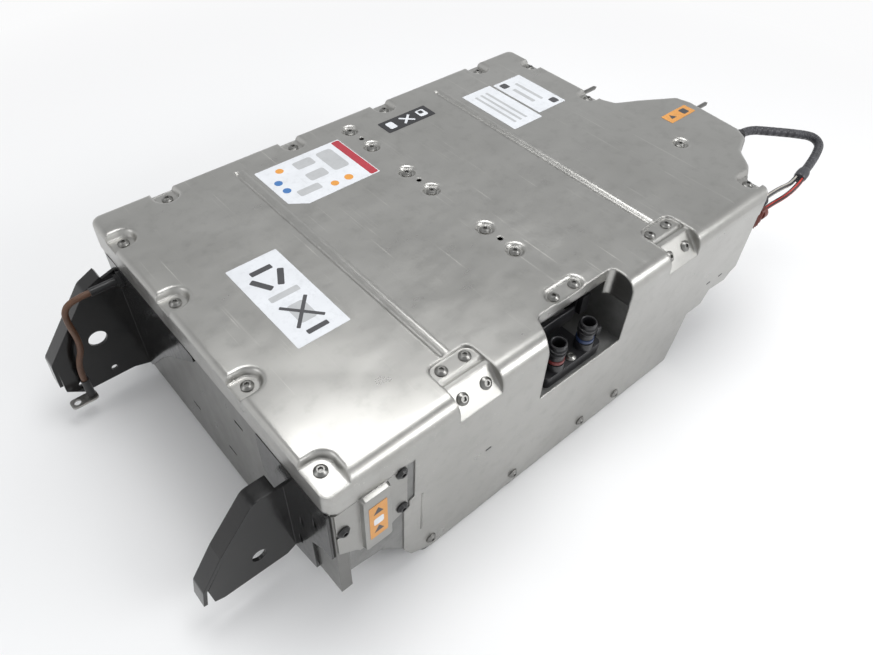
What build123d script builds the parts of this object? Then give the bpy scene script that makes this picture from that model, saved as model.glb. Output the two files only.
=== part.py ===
from build123d import *
import os
from math import cos, pi, radians, sin, tan

os.makedirs("parts", exist_ok=True)

# A battery module for a plug-in hybrid car: a pressed steel lid over a cast tray.
# X runs along the length, Y across it and Z up. The origin is on the underside, below
# the middle bolt row and half way between the first and last bolts of a column.

# ---------------------------------------------------------------- driving sizes (mm)
HEIGHT = 230.0  # underside of the tray to the flat top of the lid
SHEET = 1.2  # lid sheet
LEFT = -330.0  # outer face of the lid at the bracket end
RIGHT = 325.0  # outer face of the lid at the connector end
FRONT = -223.0  # outer face of the lid along the front
BACK = 229.0  # outer face of the lid along the back
BULGE = 93.0  # how far the housing reaches past RIGHT, over the junction box
FRONT_RADIUS = 19.0  # the broad roll of the lid into its front apron
EDGE_RADIUS = 7.0  # roll of the lid's other edges
CORNER = 12.0  # corners of the outline, seen from above
SKIRT = 35.0  # depth of the lid's skirt

BOLT_PITCH = 158.0  # one module and one crossmember
SHANK = 3.0  # radius of the bolt shanks
HEAD = 6.4  # radius of the bolt heads
HEAD_HEIGHT = 3.6
BOLT_GAP = 0.25  # clearance of the holes round the shanks
WELL_DEPTH = 8.0  # bolt wells along the edges of the lid
WELL_RADIUS = 12.0
DIMPLE_DEPTH = 4.0  # round dimples in the middle of the lid
DIMPLE_RADIUS = 9.0
ROLL = 4.5  # rolled rim of wells and dimples

RIB_FROM = 199.0  # back end of the stiffening ribs
RIB_TO = -167.0  # front end of the stiffening ribs
GROOVE = 1.8  # depth of a rib's groove
RIDGE = 1.2  # height of a rib's ridge
RIB_ROUND = 4.0  # section radius of groove and ridge

BLOCK_HALF = 27.0  # half width of the four-bolt seats at the front
BLOCK_PITCH = 29.0  # bolt spacing on the seats
BLOCK_DEPTH = 3.0
BLOCK_BACK = -171.0
BLOCK_BOLTS = -181.0  # upper bolts of a seat
SLOPE_BOLTS = -211.0  # lower bolts of a seat, on the sloping face
SLOPE_ANGLE = 48.0
SLOPE_RUN = 10.0  # crest of the slope to its bolts, along Y
BEAD_DEPTH = 2.5  # V-shaped bead along the crest

NOTCH_LEFT = -69.0  # opening for the coolant hoses
NOTCH_RIGHT = 61.0
NOTCH_BACK = -190.0
NOTCH_DEPTH = 88.0
NOTCH_BAR = 16.0  # height of the rolled strip along the back of the notch
NOTCH_TAB = 7.0  # tabs left at the corners of its floor

FLANGE = 6.0  # tray rim
FLANGE_GAP = 0.3  # tray rim to the lid's skirt
GASKET = 1.4
RIM_FRONT = -203.0  # front edge of the rim, behind the sloping seats
RIM_WIDTH = 18.0
WALL = 3.0  # tray walls and floor
TUB_LEFT = -314.4  # left wall of the tub
NICHE_GAP = 2.4  # niche of the tray to the notch of the lid
NICHE_BACK = -160.0

CELL_LENGTH = 148.0  # prismatic cells, standing on edge in rows
CELL_THICK = 26.5
CELL_HEIGHT = 91.0
CELL_COUNT = 13
END_PLATE = 8.0
COOLER = 6.0  # cooling plates
CELL_BACK = 209.0
MEMBER = 9.4  # crossmembers between the modules

PLATE = 3.5  # bracket base plates
FIN = 4.0  # bracket fins
FIN_REACH = 101.0  # how far the fins stand out of the lid's left face
FIN_FLANGE = 20.0
NEAR_FIN = -145.0
FAR_FIN = 193.0

STUB_RADIUS = 9.0  # coolant stubs
STUB_BORE = 7.0
STUB_HEIGHT = 36.0
STUB_PITCH = 47.0

# ---------------------------------------------------------------- levels and rows
LIP = HEIGHT - SKIRT
WELL_FLOOR = HEIGHT - WELL_DEPTH
RIM_TOP = WELL_FLOOR - SHEET - GASKET
RIM_UNDER = RIM_TOP - FLANGE
NOTCH_FLOOR = HEIGHT - NOTCH_DEPTH
NICHE_FLOOR = NOTCH_FLOOR - SHEET - NICHE_GAP
NICHE_LEFT = NOTCH_LEFT - SHEET - NICHE_GAP
NICHE_RIGHT = NOTCH_RIGHT + SHEET + NICHE_GAP
MEMBER_TOP = HEIGHT - DIMPLE_DEPTH - SHEET
BULGE_RIGHT = RIGHT + BULGE
RIB_ROWS = (-BOLT_PITCH, BOLT_PITCH - 4.0)

LEFT_BOLTS = [(LEFT + 14.0, y) for y in (-195.0, -80.0, 56.0, 173.0)]
RIGHT_BOLTS = [(RIGHT - 8.0, y) for y in (-194.0, 64.0, 177.0)]
BACK_BOLTS = [(x, BACK - 14.0) for x in (-244.0, -73.0, 72.0, 246.0)]
EDGE_DIMPLE = (RIGHT - 7.0, -91.0)
CENTRE_BOLTS = [(0.0, y) for y in (194.0, 148.0, 79.0, 33.0, -58.0, -105.0)]
CENTRE_HOLES = [(0.0, y) for y in (169.0, 56.0, -82.0)]
NOTCH_BOLTS = [(x, -180.0) for x in (-20.0, 10.5)]
APRON_BOLTS = [(x, HEIGHT - 210.0) for x in (-214.0, -90.0, 26.0, 92.0)]
PLATE_BOLTS = [(-318.0, 162.0), (-253.5, 189.5), (-253.5, 130.5)]


def finish(piece, node):
    """Name a finished piece and write it out."""
    piece.part.label = node
    export_step(piece.part, f"parts/{node}.step")


# ---------------------------------------------------------------- outlines
def outline(inset, front=FRONT - 9.0, left=LEFT - 9.0):
    """The housing seen from above, moved inwards by inset and cut off at front and left."""
    with BuildSketch() as plan:
        with BuildLine():
            FilletPolyline(
                (LEFT, FRONT),
                (RIGHT, FRONT),
                (RIGHT, -189.0),
                (RIGHT + 23.0, -175.0),
                (RIGHT + 43.0, -151.0),
                (BULGE_RIGHT - 18.0, -137.0),
                (BULGE_RIGHT - 7.0, -119.0),
                (BULGE_RIGHT, -37.0),
                (BULGE_RIGHT - 6.0, -15.0),
                (RIGHT + 39.0, 13.0),
                (RIGHT + 7.0, 29.0),
                (RIGHT, 45.0),
                (RIGHT, BACK),
                (LEFT, BACK),
                radius=[CORNER] * 2 + [8.0] * 10 + [CORNER] * 2,
                close=True,
            )
        make_face()
        if inset:
            offset(amount=-inset)
        wide, deep = BULGE_RIGHT + 9.0 - left, BACK + 9.0 - front
        with Locations((left + wide / 2, front + deep / 2)):
            Rectangle(wide, deep, mode=Mode.INTERSECT)
    return plan.sketch


def well_section(radius, depth, inset):
    """Half section of a round well: floor, leaning wall and rolled rim."""
    lean = 0.45 * depth
    edge = radius + lean
    with BuildSketch() as section:
        with BuildLine():
            Polyline(
                (0.0, -depth),
                (radius, -depth),
                (edge, 0.0),
                (edge + 14.0, 0.0),
                (edge + 14.0, 10.0),
                (0.0, 10.0),
                close=True,
            )
        make_face()
        rims = section.vertices().filter_by_position(Axis.Y, -0.01, 0.01).filter_by_position(
            Axis.X, edge - 0.01, edge + 0.01
        )
        fillet(rims, radius=ROLL)
        if inset:
            offset(amount=inset, kind=Kind.INTERSECTION)
            with Locations((-40.0, 0.0)):
                Rectangle(80.0, 80.0, mode=Mode.SUBTRACT)
    return section.sketch


def well(at, radius, depth, inset, ways=(), reach=40.0):
    """A bolt well in the lid, open towards each of the given directions."""
    x, y = at
    half = well_section(radius, depth, inset)
    upright = Axis((x, y, 0), (0, 0, 1))
    turn = 180 if len(ways) == 1 else 360
    dx, dy = ways[0] if ways else (0, -1)
    facing = Plane(origin=(x, y, HEIGHT), x_dir=(-dy, dx, 0), z_dir=(dx, dy, 0))
    with BuildPart() as tool:
        with BuildSketch(facing):
            add(half)
        revolve(axis=upright, revolution_arc=turn)
        for dx, dy in ways:
            facing = Plane(origin=(x, y, HEIGHT), x_dir=(-dy, dx, 0), z_dir=(dx, dy, 0))
            with BuildSketch(facing):
                add(half)
                mirror(half, about=Plane.YZ)
            extrude(amount=reach)
        if len(ways) > 1:
            floor = HEIGHT - depth - inset
            sx, sy = ways[0][0] + ways[1][0], ways[0][1] + ways[1][1]
            with Locations((x + 20.0 * sx, y + 20.0 * sy, floor + 25.0)):
                Box(40.0, 40.0, 50.0)
    return tool.part


def bar(x, y0, y1, radius, level):
    """A round bar along Y with ball ends, for the ribs of the lid."""
    lie = Plane(origin=(x, (y0 + y1) / 2, level), x_dir=(0, 1, 0), z_dir=(0, 0, 1))
    with BuildPart() as rod:
        with BuildSketch(lie):
            SlotCenterToCenter(abs(y1 - y0), 2 * radius)
            with Locations((0.0, -radius)):
                Rectangle(2 * abs(y1 - y0), 2 * radius, mode=Mode.SUBTRACT)
        revolve(axis=Axis((x, 0, level), (0, 1, 0)))
    return rod.part


def seat(x, inset):
    """Cutter for a four-bolt seat: a flat, a V-shaped bead and a sloping face."""
    flat = HEIGHT - BLOCK_DEPTH
    fall = tan(radians(SLOPE_ANGLE))
    crest = SLOPE_BOLTS + SLOPE_RUN
    with BuildPart() as tool:
        with BuildSketch(Plane.YZ.offset(x - BLOCK_HALF - inset)):
            with BuildLine():
                Polyline(
                    (BLOCK_BACK, HEIGHT + 12.0),
                    (BLOCK_BACK, flat),
                    (crest + 12.0, flat),
                    (crest + 8.5, flat - BEAD_DEPTH),
                    (crest + 5.0, flat),
                    (crest, flat),
                    (crest - 40.0, flat - 40.0 * fall),
                    (crest - 60.0, flat - 40.0 * fall),
                    (crest - 60.0, HEIGHT + 12.0),
                    close=True,
                )
            make_face()
            if inset:
                offset(amount=inset, kind=Kind.INTERSECTION)
        extrude(amount=2 * (BLOCK_HALF + inset))
        uprights = tool.edges().filter_by(Axis.Z).group_by(Axis.Y)[-1]
        fillet(uprights, radius=10.0 + inset)
    return tool.part


def notch(inset):
    """Cutter for the hose notch, wider at the bottom of its left side."""
    with BuildPart() as tool:
        with BuildSketch(Plane.XY.offset(NOTCH_FLOOR - inset)):
            with BuildLine():
                FilletPolyline(
                    (NOTCH_LEFT, FRONT - 30.0),
                    (NOTCH_LEFT, FRONT + 3.0),
                    (NOTCH_LEFT + 13.0, NOTCH_BACK),
                    (NOTCH_RIGHT, NOTCH_BACK),
                    (NOTCH_RIGHT, FRONT - 30.0),
                    radius=9.0,
                )
                Line((NOTCH_RIGHT, FRONT - 30.0), (NOTCH_LEFT, FRONT - 30.0))
            make_face()
            if inset:
                offset(amount=inset)
        extrude(amount=NOTCH_DEPTH + inset + 20.0)
    return tool.part


def lid_form(inset):
    """The solid under the lid's surface, moved inwards by inset on every side."""
    top = HEIGHT - inset
    run = BULGE_RIGHT - LEFT
    with BuildPart() as form:
        with BuildSketch():
            add(outline(inset))
        extrude(amount=top)
        ends = form.edges().filter_by_position(Axis.Z, top - 0.01, top + 0.01)
        ends = ends.filter_by_position(Axis.X, RIGHT - inset - 0.5, BULGE_RIGHT)
        fillet(ends, radius=EDGE_RADIUS - inset)
        front, back, roll, small = FRONT + inset, BACK - inset, FRONT_RADIUS, EDGE_RADIUS
        with BuildSketch(Plane.YZ.offset(LEFT - 10.0)):
            with BuildLine():
                Line((front, -5.0), (front, HEIGHT - roll))
                RadiusArc((front, HEIGHT - roll), (FRONT + roll, top), roll - inset)
                Line((FRONT + roll, top), (BACK - small, top))
                RadiusArc((BACK - small, top), (back, HEIGHT - small), small - inset)
                Polyline((back, HEIGHT - small), (back, -5.0), (front, -5.0))
            make_face()
        extrude(amount=run + 20.0, mode=Mode.INTERSECT)
        with BuildSketch(Plane.XZ.offset(-BACK - 10.0)):
            with BuildLine():
                Line((LEFT + inset, -5.0), (LEFT + inset, HEIGHT - small))
                RadiusArc((LEFT + inset, HEIGHT - small), (LEFT + small, top), small - inset)
                Polyline(
                    (LEFT + small, top),
                    (BULGE_RIGHT + 5.0, top),
                    (BULGE_RIGHT + 5.0, -5.0),
                    (LEFT + inset, -5.0),
                )
            make_face()
        extrude(amount=BACK - FRONT + 20.0, mode=Mode.INTERSECT)
        for x in RIB_ROWS:
            ridge = bar(x + RIB_ROUND, RIB_FROM, RIB_TO, RIB_ROUND - inset, HEIGHT + RIDGE - RIB_ROUND)
            add(ridge)
            groove = bar(x - 3.0, RIB_FROM, RIB_TO, RIB_ROUND + inset, HEIGHT - GROOVE + RIB_ROUND)
            add(groove, mode=Mode.SUBTRACT)
            add(seat(x, inset), mode=Mode.SUBTRACT)
        add(well(LEFT_BOLTS[0], WELL_RADIUS, WELL_DEPTH, inset, [(-1, 0), (0, -1)]), mode=Mode.SUBTRACT)
        for at in LEFT_BOLTS[1:]:
            add(well(at, WELL_RADIUS, WELL_DEPTH, inset, [(-1, 0)]), mode=Mode.SUBTRACT)
        for at in RIGHT_BOLTS:
            add(well(at, WELL_RADIUS, WELL_DEPTH, inset, [(1, 0)]), mode=Mode.SUBTRACT)
        for at in BACK_BOLTS:
            add(well(at, WELL_RADIUS, WELL_DEPTH, inset, [(0, 1)]), mode=Mode.SUBTRACT)
        for at in CENTRE_BOLTS + [EDGE_DIMPLE]:
            add(well(at, DIMPLE_RADIUS, DIMPLE_DEPTH, inset), mode=Mode.SUBTRACT)
        first, last = NOTCH_BOLTS
        span = last[0] - first[0]
        add(well(first, DIMPLE_RADIUS, BLOCK_DEPTH, inset, [(1, 0)], span), mode=Mode.SUBTRACT)
        add(well(last, DIMPLE_RADIUS, BLOCK_DEPTH, inset, [(-1, 0)], span), mode=Mode.SUBTRACT)
        add(notch(inset), mode=Mode.SUBTRACT)
    return form.part


def drill(spots, radius, top, depth):
    """Round holes or shanks that run straight down from top at each spot."""
    with BuildPart() as pins:
        with Locations(*[(x, y, top - depth / 2) for x, y in spots]):
            Cylinder(radius, depth)
    return pins.part


# ---------------------------------------------------------------- seats and fasteners
BLOCK_ROWS = [-BOLT_PITCH, BOLT_PITCH - 6.0]
BLOCK_SPOTS = [(x + side * BLOCK_PITCH / 2, BLOCK_BOLTS) for x in BLOCK_ROWS for side in (-1, 1)]
BLOCK_FLAT = HEIGHT - BLOCK_DEPTH
SLOPE_Z = BLOCK_FLAT - SLOPE_RUN * tan(radians(SLOPE_ANGLE))
SLOPE_NORMAL = (0.0, -sin(radians(SLOPE_ANGLE)), cos(radians(SLOPE_ANGLE)))
SLOPE_SPOTS = [(x + side * BLOCK_PITCH / 2, SLOPE_BOLTS) for x in BLOCK_ROWS for side in (-1, 1)]
WELL_SPOTS = LEFT_BOLTS + RIGHT_BOLTS + BACK_BOLTS


def screw(length):
    """A button-head screw with a socket, its seat at the origin and its shank below."""
    with BuildPart() as one:
        with BuildSketch(Plane.XZ):
            with BuildLine():
                Polyline(
                    (0.0, -length),
                    (SHANK, -length),
                    (SHANK, 0.0),
                    (HEAD, 0.0),
                    (HEAD, 1.2),
                    (HEAD - 1.2, 2.0),
                    (HEAD - 2.8, HEAD_HEIGHT),
                    (0.0, HEAD_HEIGHT),
                    close=True,
                )
            make_face()
        revolve(axis=Axis.Z)
        with BuildSketch(Plane.XY.offset(HEAD_HEIGHT)):
            RegularPolygon(2.4, 6)
        extrude(amount=-2.0, mode=Mode.SUBTRACT)
    return one.part


def screws(node, places, length):
    """A set of like screws in one node; places are planes on their seats."""
    one = screw(length)
    with BuildPart() as group:
        with Locations(*[Location(place) for place in places]):
            add(one)
    finish(group, node)


def upright(spots, level):
    """Planes that face up at the given spots and level."""
    return [Plane((x, y, level)) for x, y in spots]


SLOPE_PLACES = [Plane(origin=(x, y, SLOPE_Z), x_dir=(1, 0, 0), z_dir=SLOPE_NORMAL) for x, y in SLOPE_SPOTS]
APRON_PLACES = [Plane(origin=(x, FRONT, z), x_dir=(1, 0, 0), z_dir=(0, -1, 0)) for x, z in APRON_BOLTS]

# ---------------------------------------------------------------- lid
APRON_LEFT = -244.0
APRON_RIGHT = 312.0
APRON_FOOT = 3.0
PIN_SPOTS = [(RIGHT - SHEET - FLANGE_GAP, 86.0), (BULGE_RIGHT - 1.8, -42.0)]
PIN_RADIUS = 3.0
PIN_LENGTH = 30.0
SHOULDER_RADIUS = 3.4  # a pin's thicker root, through the lid
SHOULDER_LENGTH = 4.0
PIN_TIP = 5.0
PIN_LEVEL = (RIM_TOP + RIM_UNDER) / 2

with BuildPart() as apron:
    with BuildSketch(Plane.XZ.offset(-FRONT - SHEET)):
        with BuildLine():
            FilletPolyline(
                (APRON_LEFT + 6.0, HEIGHT),
                (APRON_LEFT + 6.0, 133.0),
                (APRON_LEFT, 131.0),
                (APRON_LEFT, 121.0),
                (APRON_LEFT - 7.0, 118.0),
                (APRON_LEFT - 7.0, 40.0),
                (APRON_LEFT + 3.0, 19.0),
                (APRON_LEFT + 30.0, APRON_FOOT),
                (203.0, APRON_FOOT),
                (210.0, 37.0),
                (216.0, 84.0),
                (246.0, 83.0),
                (256.0, 103.0),
                (292.0, 99.0),
                (301.0, 108.0),
                (APRON_RIGHT, 112.0),
                (APRON_RIGHT, HEIGHT),
                radius=2.0,
                close=True,
            )
        make_face()
    extrude(amount=SHEET + 10.0)

# The skirt is cut away round what comes out of the bulge under the rim.
HARNESS_Y = -110.0
HARNESS_Z = RIM_UNDER - 10.0
HARNESS_WIDE = 20.0
VENT_AT = (RIGHT + 23.0, 21.0)
VENT_WAY = (0.447, 0.894, 0.0)
VENT_RADIUS = 8.0
SOCKET_AT = (BULGE_RIGHT - 12.5, -128.0)
SOCKET_WAY = (0.853, -0.522, 0.0)
SOCKET_Z = LIP - 10.5
SOCKET_RADIUS = 9.0

with BuildPart() as lid:
    add(lid_form(0.0))
    add(lid_form(SHEET), mode=Mode.SUBTRACT)
    with BuildPart(mode=Mode.INTERSECT):
        with Locations(((LEFT + BULGE_RIGHT) / 2, (FRONT + BACK) / 2, LIP + 50.0)):
            Box(BULGE_RIGHT - LEFT + 20.0, BACK - FRONT + 20.0, 100.0)
        add(apron.part)
    # The notch opens into the niche below its bar, between the tabs of its floor.
    left, right = NOTCH_LEFT + NOTCH_TAB + 8.0, NOTCH_RIGHT - NOTCH_TAB
    low, high = NOTCH_FLOOR - 10.0, HEIGHT - NOTCH_BAR
    with Locations(((left + right) / 2, FRONT + 34.0, (low + high) / 2)):
        Box(right - left, 60.0, high - low, mode=Mode.SUBTRACT)
    add(drill(WELL_SPOTS, SHANK + BOLT_GAP, HEIGHT, 30.0), mode=Mode.SUBTRACT)
    inner_spots = CENTRE_BOLTS + CENTRE_HOLES + [EDGE_DIMPLE] + BLOCK_SPOTS + NOTCH_BOLTS
    add(drill(inner_spots, SHANK + BOLT_GAP, HEIGHT, 20.0), mode=Mode.SUBTRACT)
    with Locations(*[Location(place) for place in SLOPE_PLACES + APRON_PLACES]):
        Cylinder(SHANK + BOLT_GAP, 12.0, mode=Mode.SUBTRACT)
    for x, y in PIN_SPOTS:
        with Locations(Location((x, y, PIN_LEVEL), (0, 90, 0))):
            Cylinder(SHOULDER_RADIUS + 0.4, 30.0, mode=Mode.SUBTRACT)
    with Locations((BULGE_RIGHT, HARNESS_Y, RIM_UNDER - 15.0)):
        Box(60.0, HARNESS_WIDE + 8.0, 31.0, mode=Mode.SUBTRACT)
    vent_plane = Plane(origin=(*VENT_AT, HARNESS_Z), x_dir=(0, 0, 1), z_dir=VENT_WAY)
    with BuildSketch(vent_plane.offset(-10.0)):
        Circle(VENT_RADIUS + 1.5)
        with Locations((-20.0, 0.0)):
            Rectangle(40.0, 2 * VENT_RADIUS + 3.0)
    extrude(amount=20.0, mode=Mode.SUBTRACT)
finish(lid, "lid")

WELL_SCREW = SHEET + GASKET + FLANGE
screws("edge_screws", upright(WELL_SPOTS, WELL_FLOOR), WELL_SCREW)
screws("dimple_screws", upright(CENTRE_BOLTS + [EDGE_DIMPLE], HEIGHT - DIMPLE_DEPTH), 14.0)
screws("seat_screws", upright(BLOCK_SPOTS + NOTCH_BOLTS, BLOCK_FLAT), BLOCK_FLAT - RIM_UNDER)
screws("slope_screws", SLOPE_PLACES, 16.0)
screws("apron_screws", APRON_PLACES, 10.0)

# ---------------------------------------------------------------- tray
TRAY_INSET = SHEET + FLANGE_GAP
TRAY_FRONT = FRONT + TRAY_INSET
TUB_TOP = LIP
DEEP_LEFT = -222.0  # the deep middle of the tub
DEEP_RIGHT = 204.0
LEFT_SHELF = 84.0  # underside of the shallow left end
RIGHT_SHELF = 112.0  # underside of the shallow right end
POST_RADIUS = 6.0


def tub_profile(inset):
    """The tub from the front: shallow ends and a deep middle."""
    with BuildSketch() as side:
        with BuildLine():
            FilletPolyline(
                (TUB_LEFT - 20.0, TUB_TOP),
                (TUB_LEFT - 20.0, LEFT_SHELF),
                (DEEP_LEFT - 55.0, LEFT_SHELF - 10.0),
                (DEEP_LEFT - 30.0, 42.0),
                (DEEP_LEFT, 0.0),
                (DEEP_RIGHT, 0.0),
                (DEEP_RIGHT + 7.0, 90.0),
                (DEEP_RIGHT + 46.0, 90.0),
                (DEEP_RIGHT + 56.0, RIGHT_SHELF),
                (BULGE_RIGHT + 20.0, RIGHT_SHELF),
                (BULGE_RIGHT + 20.0, TUB_TOP),
                radius=8.0,
                close=True,
            )
        make_face()
        if inset:
            offset(amount=-inset)
    return side.sketch


def tray_form(inset):
    """The solid inside the tray's surface: the lower tub and its set-back upper part."""
    plan = outline(TRAY_INSET + inset, left=TUB_LEFT + inset)
    upper = outline(TRAY_INSET + inset, RIM_FRONT + inset, TUB_LEFT + inset)
    with BuildPart() as form:
        with BuildSketch(Plane.XZ.offset(-FRONT)):
            add(tub_profile(inset))
        extrude(amount=FRONT - BACK)
        with BuildSketch():
            add(plan)
        extrude(amount=HEIGHT, mode=Mode.INTERSECT)
        with BuildSketch(Plane.XY.offset(TUB_TOP - 30.0)):
            add(upper)
        extrude(amount=RIM_UNDER - TUB_TOP + 30.0)
        left = NICHE_LEFT - inset
        right = NICHE_RIGHT + inset
        back = NICHE_BACK + inset
        floor = NICHE_FLOOR - inset
        with Locations(((left + right) / 2, (back + FRONT - 40.0) / 2, floor + 50.0)):
            Box(right - left, back - FRONT + 40.0, 100.0, mode=Mode.SUBTRACT)
    return form.part


RIM_SPOTS = WELL_SPOTS + BLOCK_SPOTS + NOTCH_BOLTS
RIM_BACK_OF_NOTCH = NOTCH_BACK + SHEET + NICHE_GAP
RIM_INNER_FRONT = RIM_FRONT + 34.0


def rim_plan(width):
    """The flat rim under the lid's edge, set back behind the notch."""
    with BuildSketch() as ring:
        add(outline(TRAY_INSET, RIM_FRONT))
        add(outline(TRAY_INSET + width, RIM_INNER_FRONT), mode=Mode.SUBTRACT)
        with Locations(((NICHE_LEFT + NICHE_RIGHT) / 2, RIM_BACK_OF_NOTCH - 50.0)):
            Rectangle(NICHE_RIGHT - NICHE_LEFT, 100.0, mode=Mode.SUBTRACT)
        with Locations(*RIM_SPOTS):
            Circle(SHANK + BOLT_GAP, mode=Mode.SUBTRACT)
    return ring.sketch


END_FACE = LEFT + 3.0
END_SHEET = 2.0
END_FRONT = TRAY_FRONT
PLATE_PLACES = [Plane(origin=(x, FRONT, z), x_dir=(1, 0, 0), z_dir=(0, -1, 0)) for x, z in PLATE_BOLTS]

with BuildPart() as tray:
    add(tray_form(0.0))
    add(tray_form(WALL), mode=Mode.SUBTRACT)
    with BuildSketch(Plane.XY.offset(RIM_UNDER - 12.0)):
        add(outline(TRAY_INSET + RIM_WIDTH, RIM_INNER_FRONT))
    extrude(amount=30.0, mode=Mode.SUBTRACT)
    with BuildSketch(Plane.XY.offset(RIM_UNDER)):
        add(rim_plan(RIM_WIDTH))
    extrude(amount=FLANGE)
    post_foot = RIGHT_SHELF + WALL / 2
    with Locations((*EDGE_DIMPLE, (post_foot + MEMBER_TOP) / 2)):
        Cylinder(POST_RADIUS, MEMBER_TOP - post_foot)
    add(drill([EDGE_DIMPLE], SHANK + BOLT_GAP, MEMBER_TOP + 1.0, 16.0), mode=Mode.SUBTRACT)
    with Locations(*[Location(place) for place in SLOPE_PLACES + APRON_PLACES + PLATE_PLACES]):
        Cylinder(SHANK + BOLT_GAP, 40.0, mode=Mode.SUBTRACT)
finish(tray, "tray")

with BuildPart() as rim_gasket:
    with BuildSketch(Plane.XY.offset(RIM_TOP)):
        add(rim_plan(RIM_WIDTH))
    extrude(amount=GASKET)
finish(rim_gasket, "rim_gasket")

with BuildPart() as locating_pins:
    for x, y in PIN_SPOTS:
        root = Plane(origin=(x, y, PIN_LEVEL), x_dir=(0, 1, 0), z_dir=(1, 0, 0))
        tip = root.offset(SHOULDER_LENGTH)
        with BuildSketch(root):
            Circle(SHOULDER_RADIUS)
        extrude(amount=SHOULDER_LENGTH)
        with BuildSketch(tip):
            Circle(PIN_RADIUS)
        extrude(amount=PIN_LENGTH)
        with BuildSketch(tip.offset(PIN_LENGTH)):
            Circle(PIN_RADIUS)
        extrude(amount=PIN_TIP, taper=24.0)
finish(locating_pins, "locating_pins")


# ---------------------------------------------------------------- left end
END_TOP = LIP - 0.5
END_CORNERS = [
    (END_FRONT, END_TOP),
    (END_FRONT, 49.0),
    (-180.0, 46.0),
    (-95.0, 8.0),
    (200.0, 8.0),
    (BACK - 4.0, 40.0),
    (BACK - 4.0, END_TOP),
]

with BuildPart() as end_panel:
    with BuildSketch(Plane.YZ.offset(END_FACE)):
        with BuildLine():
            Polyline(*END_CORNERS, close=True)
        make_face()
    extrude(amount=TUB_LEFT - END_FACE)
    with BuildSketch(Plane.YZ.offset(END_FACE + END_SHEET)):
        with BuildLine():
            Polyline(*END_CORNERS, close=True)
        make_face()
        offset(amount=-END_SHEET, kind=Kind.INTERSECTION)
    extrude(amount=TUB_LEFT - END_FACE, mode=Mode.SUBTRACT)
    x, z = PLATE_BOLTS[0]
    with Locations(Location((x, END_FRONT, z), (90, 0, 0))):
        Cylinder(SHANK + BOLT_GAP, 12.0, mode=Mode.SUBTRACT)
    for y, z in ((-176.0, 70.0), (-60.0, 150.0), (-20.0, 60.0), (60.0, 60.0)):
        with Locations((END_FACE, y, z)):
            Box(10.0, 16.0, 4.0, mode=Mode.SUBTRACT)
finish(end_panel, "end_panel")


def bracket(node, base, fin, slope, holes, at, slots):
    """A mounting bracket: base plate on the end panel, fin and a flange along its slope."""
    face = Plane.YZ.offset(END_FACE - PLATE)
    upright = Plane.XZ.offset(-at)
    with BuildPart() as piece:
        with BuildSketch(face):
            with BuildLine():
                FilletPolyline(*base, radius=3.0, close=True)
            make_face()
            with Locations(*slots):
                RectangleRounded(5.0, 14.0, 2.4, mode=Mode.SUBTRACT)
        extrude(amount=PLATE)
        with BuildSketch(upright):
            with BuildLine():
                FilletPolyline(*fin, radius=2.0, close=True)
            make_face()
            for x, z, radius in holes:
                with Locations((x, z)):
                    Circle(radius, mode=Mode.SUBTRACT)
        extrude(amount=-FIN)
        with BuildSketch(upright) as strip:
            with BuildLine():
                FilletPolyline(*slope, radius=6.0)
                offset(amount=-FIN, side=Side.RIGHT)
            make_face()
        extrude(amount=-FIN_FLANGE)
    finish(piece, node)


PLATE_TOP = END_TOP
ROOT = END_FACE - 1.0
TIP = LEFT - FIN_REACH
bracket(
    "near_bracket",
    [(-219.0, PLATE_TOP), (-108.0, PLATE_TOP), (-108.0, 139.0), (-119.0, 102.0), (-134.0, 95.0),
     (-134.0, 30.0), (-184.0, 44.0), (-184.0, 100.0), (-205.0, 117.0), (-219.0, 117.0)],
    [(ROOT, 150.0), (LEFT - 31.0, 148.0), (LEFT - 72.0, 99.0), (TIP + 5.0, 62.0), (TIP + 7.0, 36.0),
     (TIP + 17.0, 32.0), (LEFT - 12.0, 30.0), (ROOT, 38.0)],
    [(LEFT - 8.0, 148.0), (LEFT - 31.0, 148.0), (LEFT - 72.0, 99.0), (TIP + 4.0, 62.0), (TIP, 40.0)],
    [(LEFT - 40.0, 63.0, 8.0)],
    NEAR_FIN,
    [(-196.0, 150.0), (-170.0, 118.0), (-160.0, 70.0)],
)
bracket(
    "far_bracket",
    [(8.0, PLATE_TOP), (8.0, 186.0), (90.0, 122.0), (121.0, 92.0), (186.0, 20.0), (206.0, 14.0),
     (206.0, PLATE_TOP)],
    [(ROOT, 180.0), (LEFT - 17.0, 174.0), (LEFT - 37.0, 164.0), (TIP + 1.0, 85.0), (TIP - 1.0, 39.0),
     (LEFT - 84.0, 25.0), (LEFT - 20.0, 25.0), (ROOT, 18.0)],
    [(LEFT - 17.0, 174.0), (LEFT - 37.0, 164.0), (TIP + 1.0, 85.0), (TIP - 1.0, 50.0)],
    [(LEFT - 46.0, 95.0, 11.0), (LEFT - 42.0, 40.0, 4.0), (LEFT - 83.0, 40.0, 4.0)],
    FAR_FIN,
    [(60.0, 175.0), (150.0, 110.0)],
)

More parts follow.
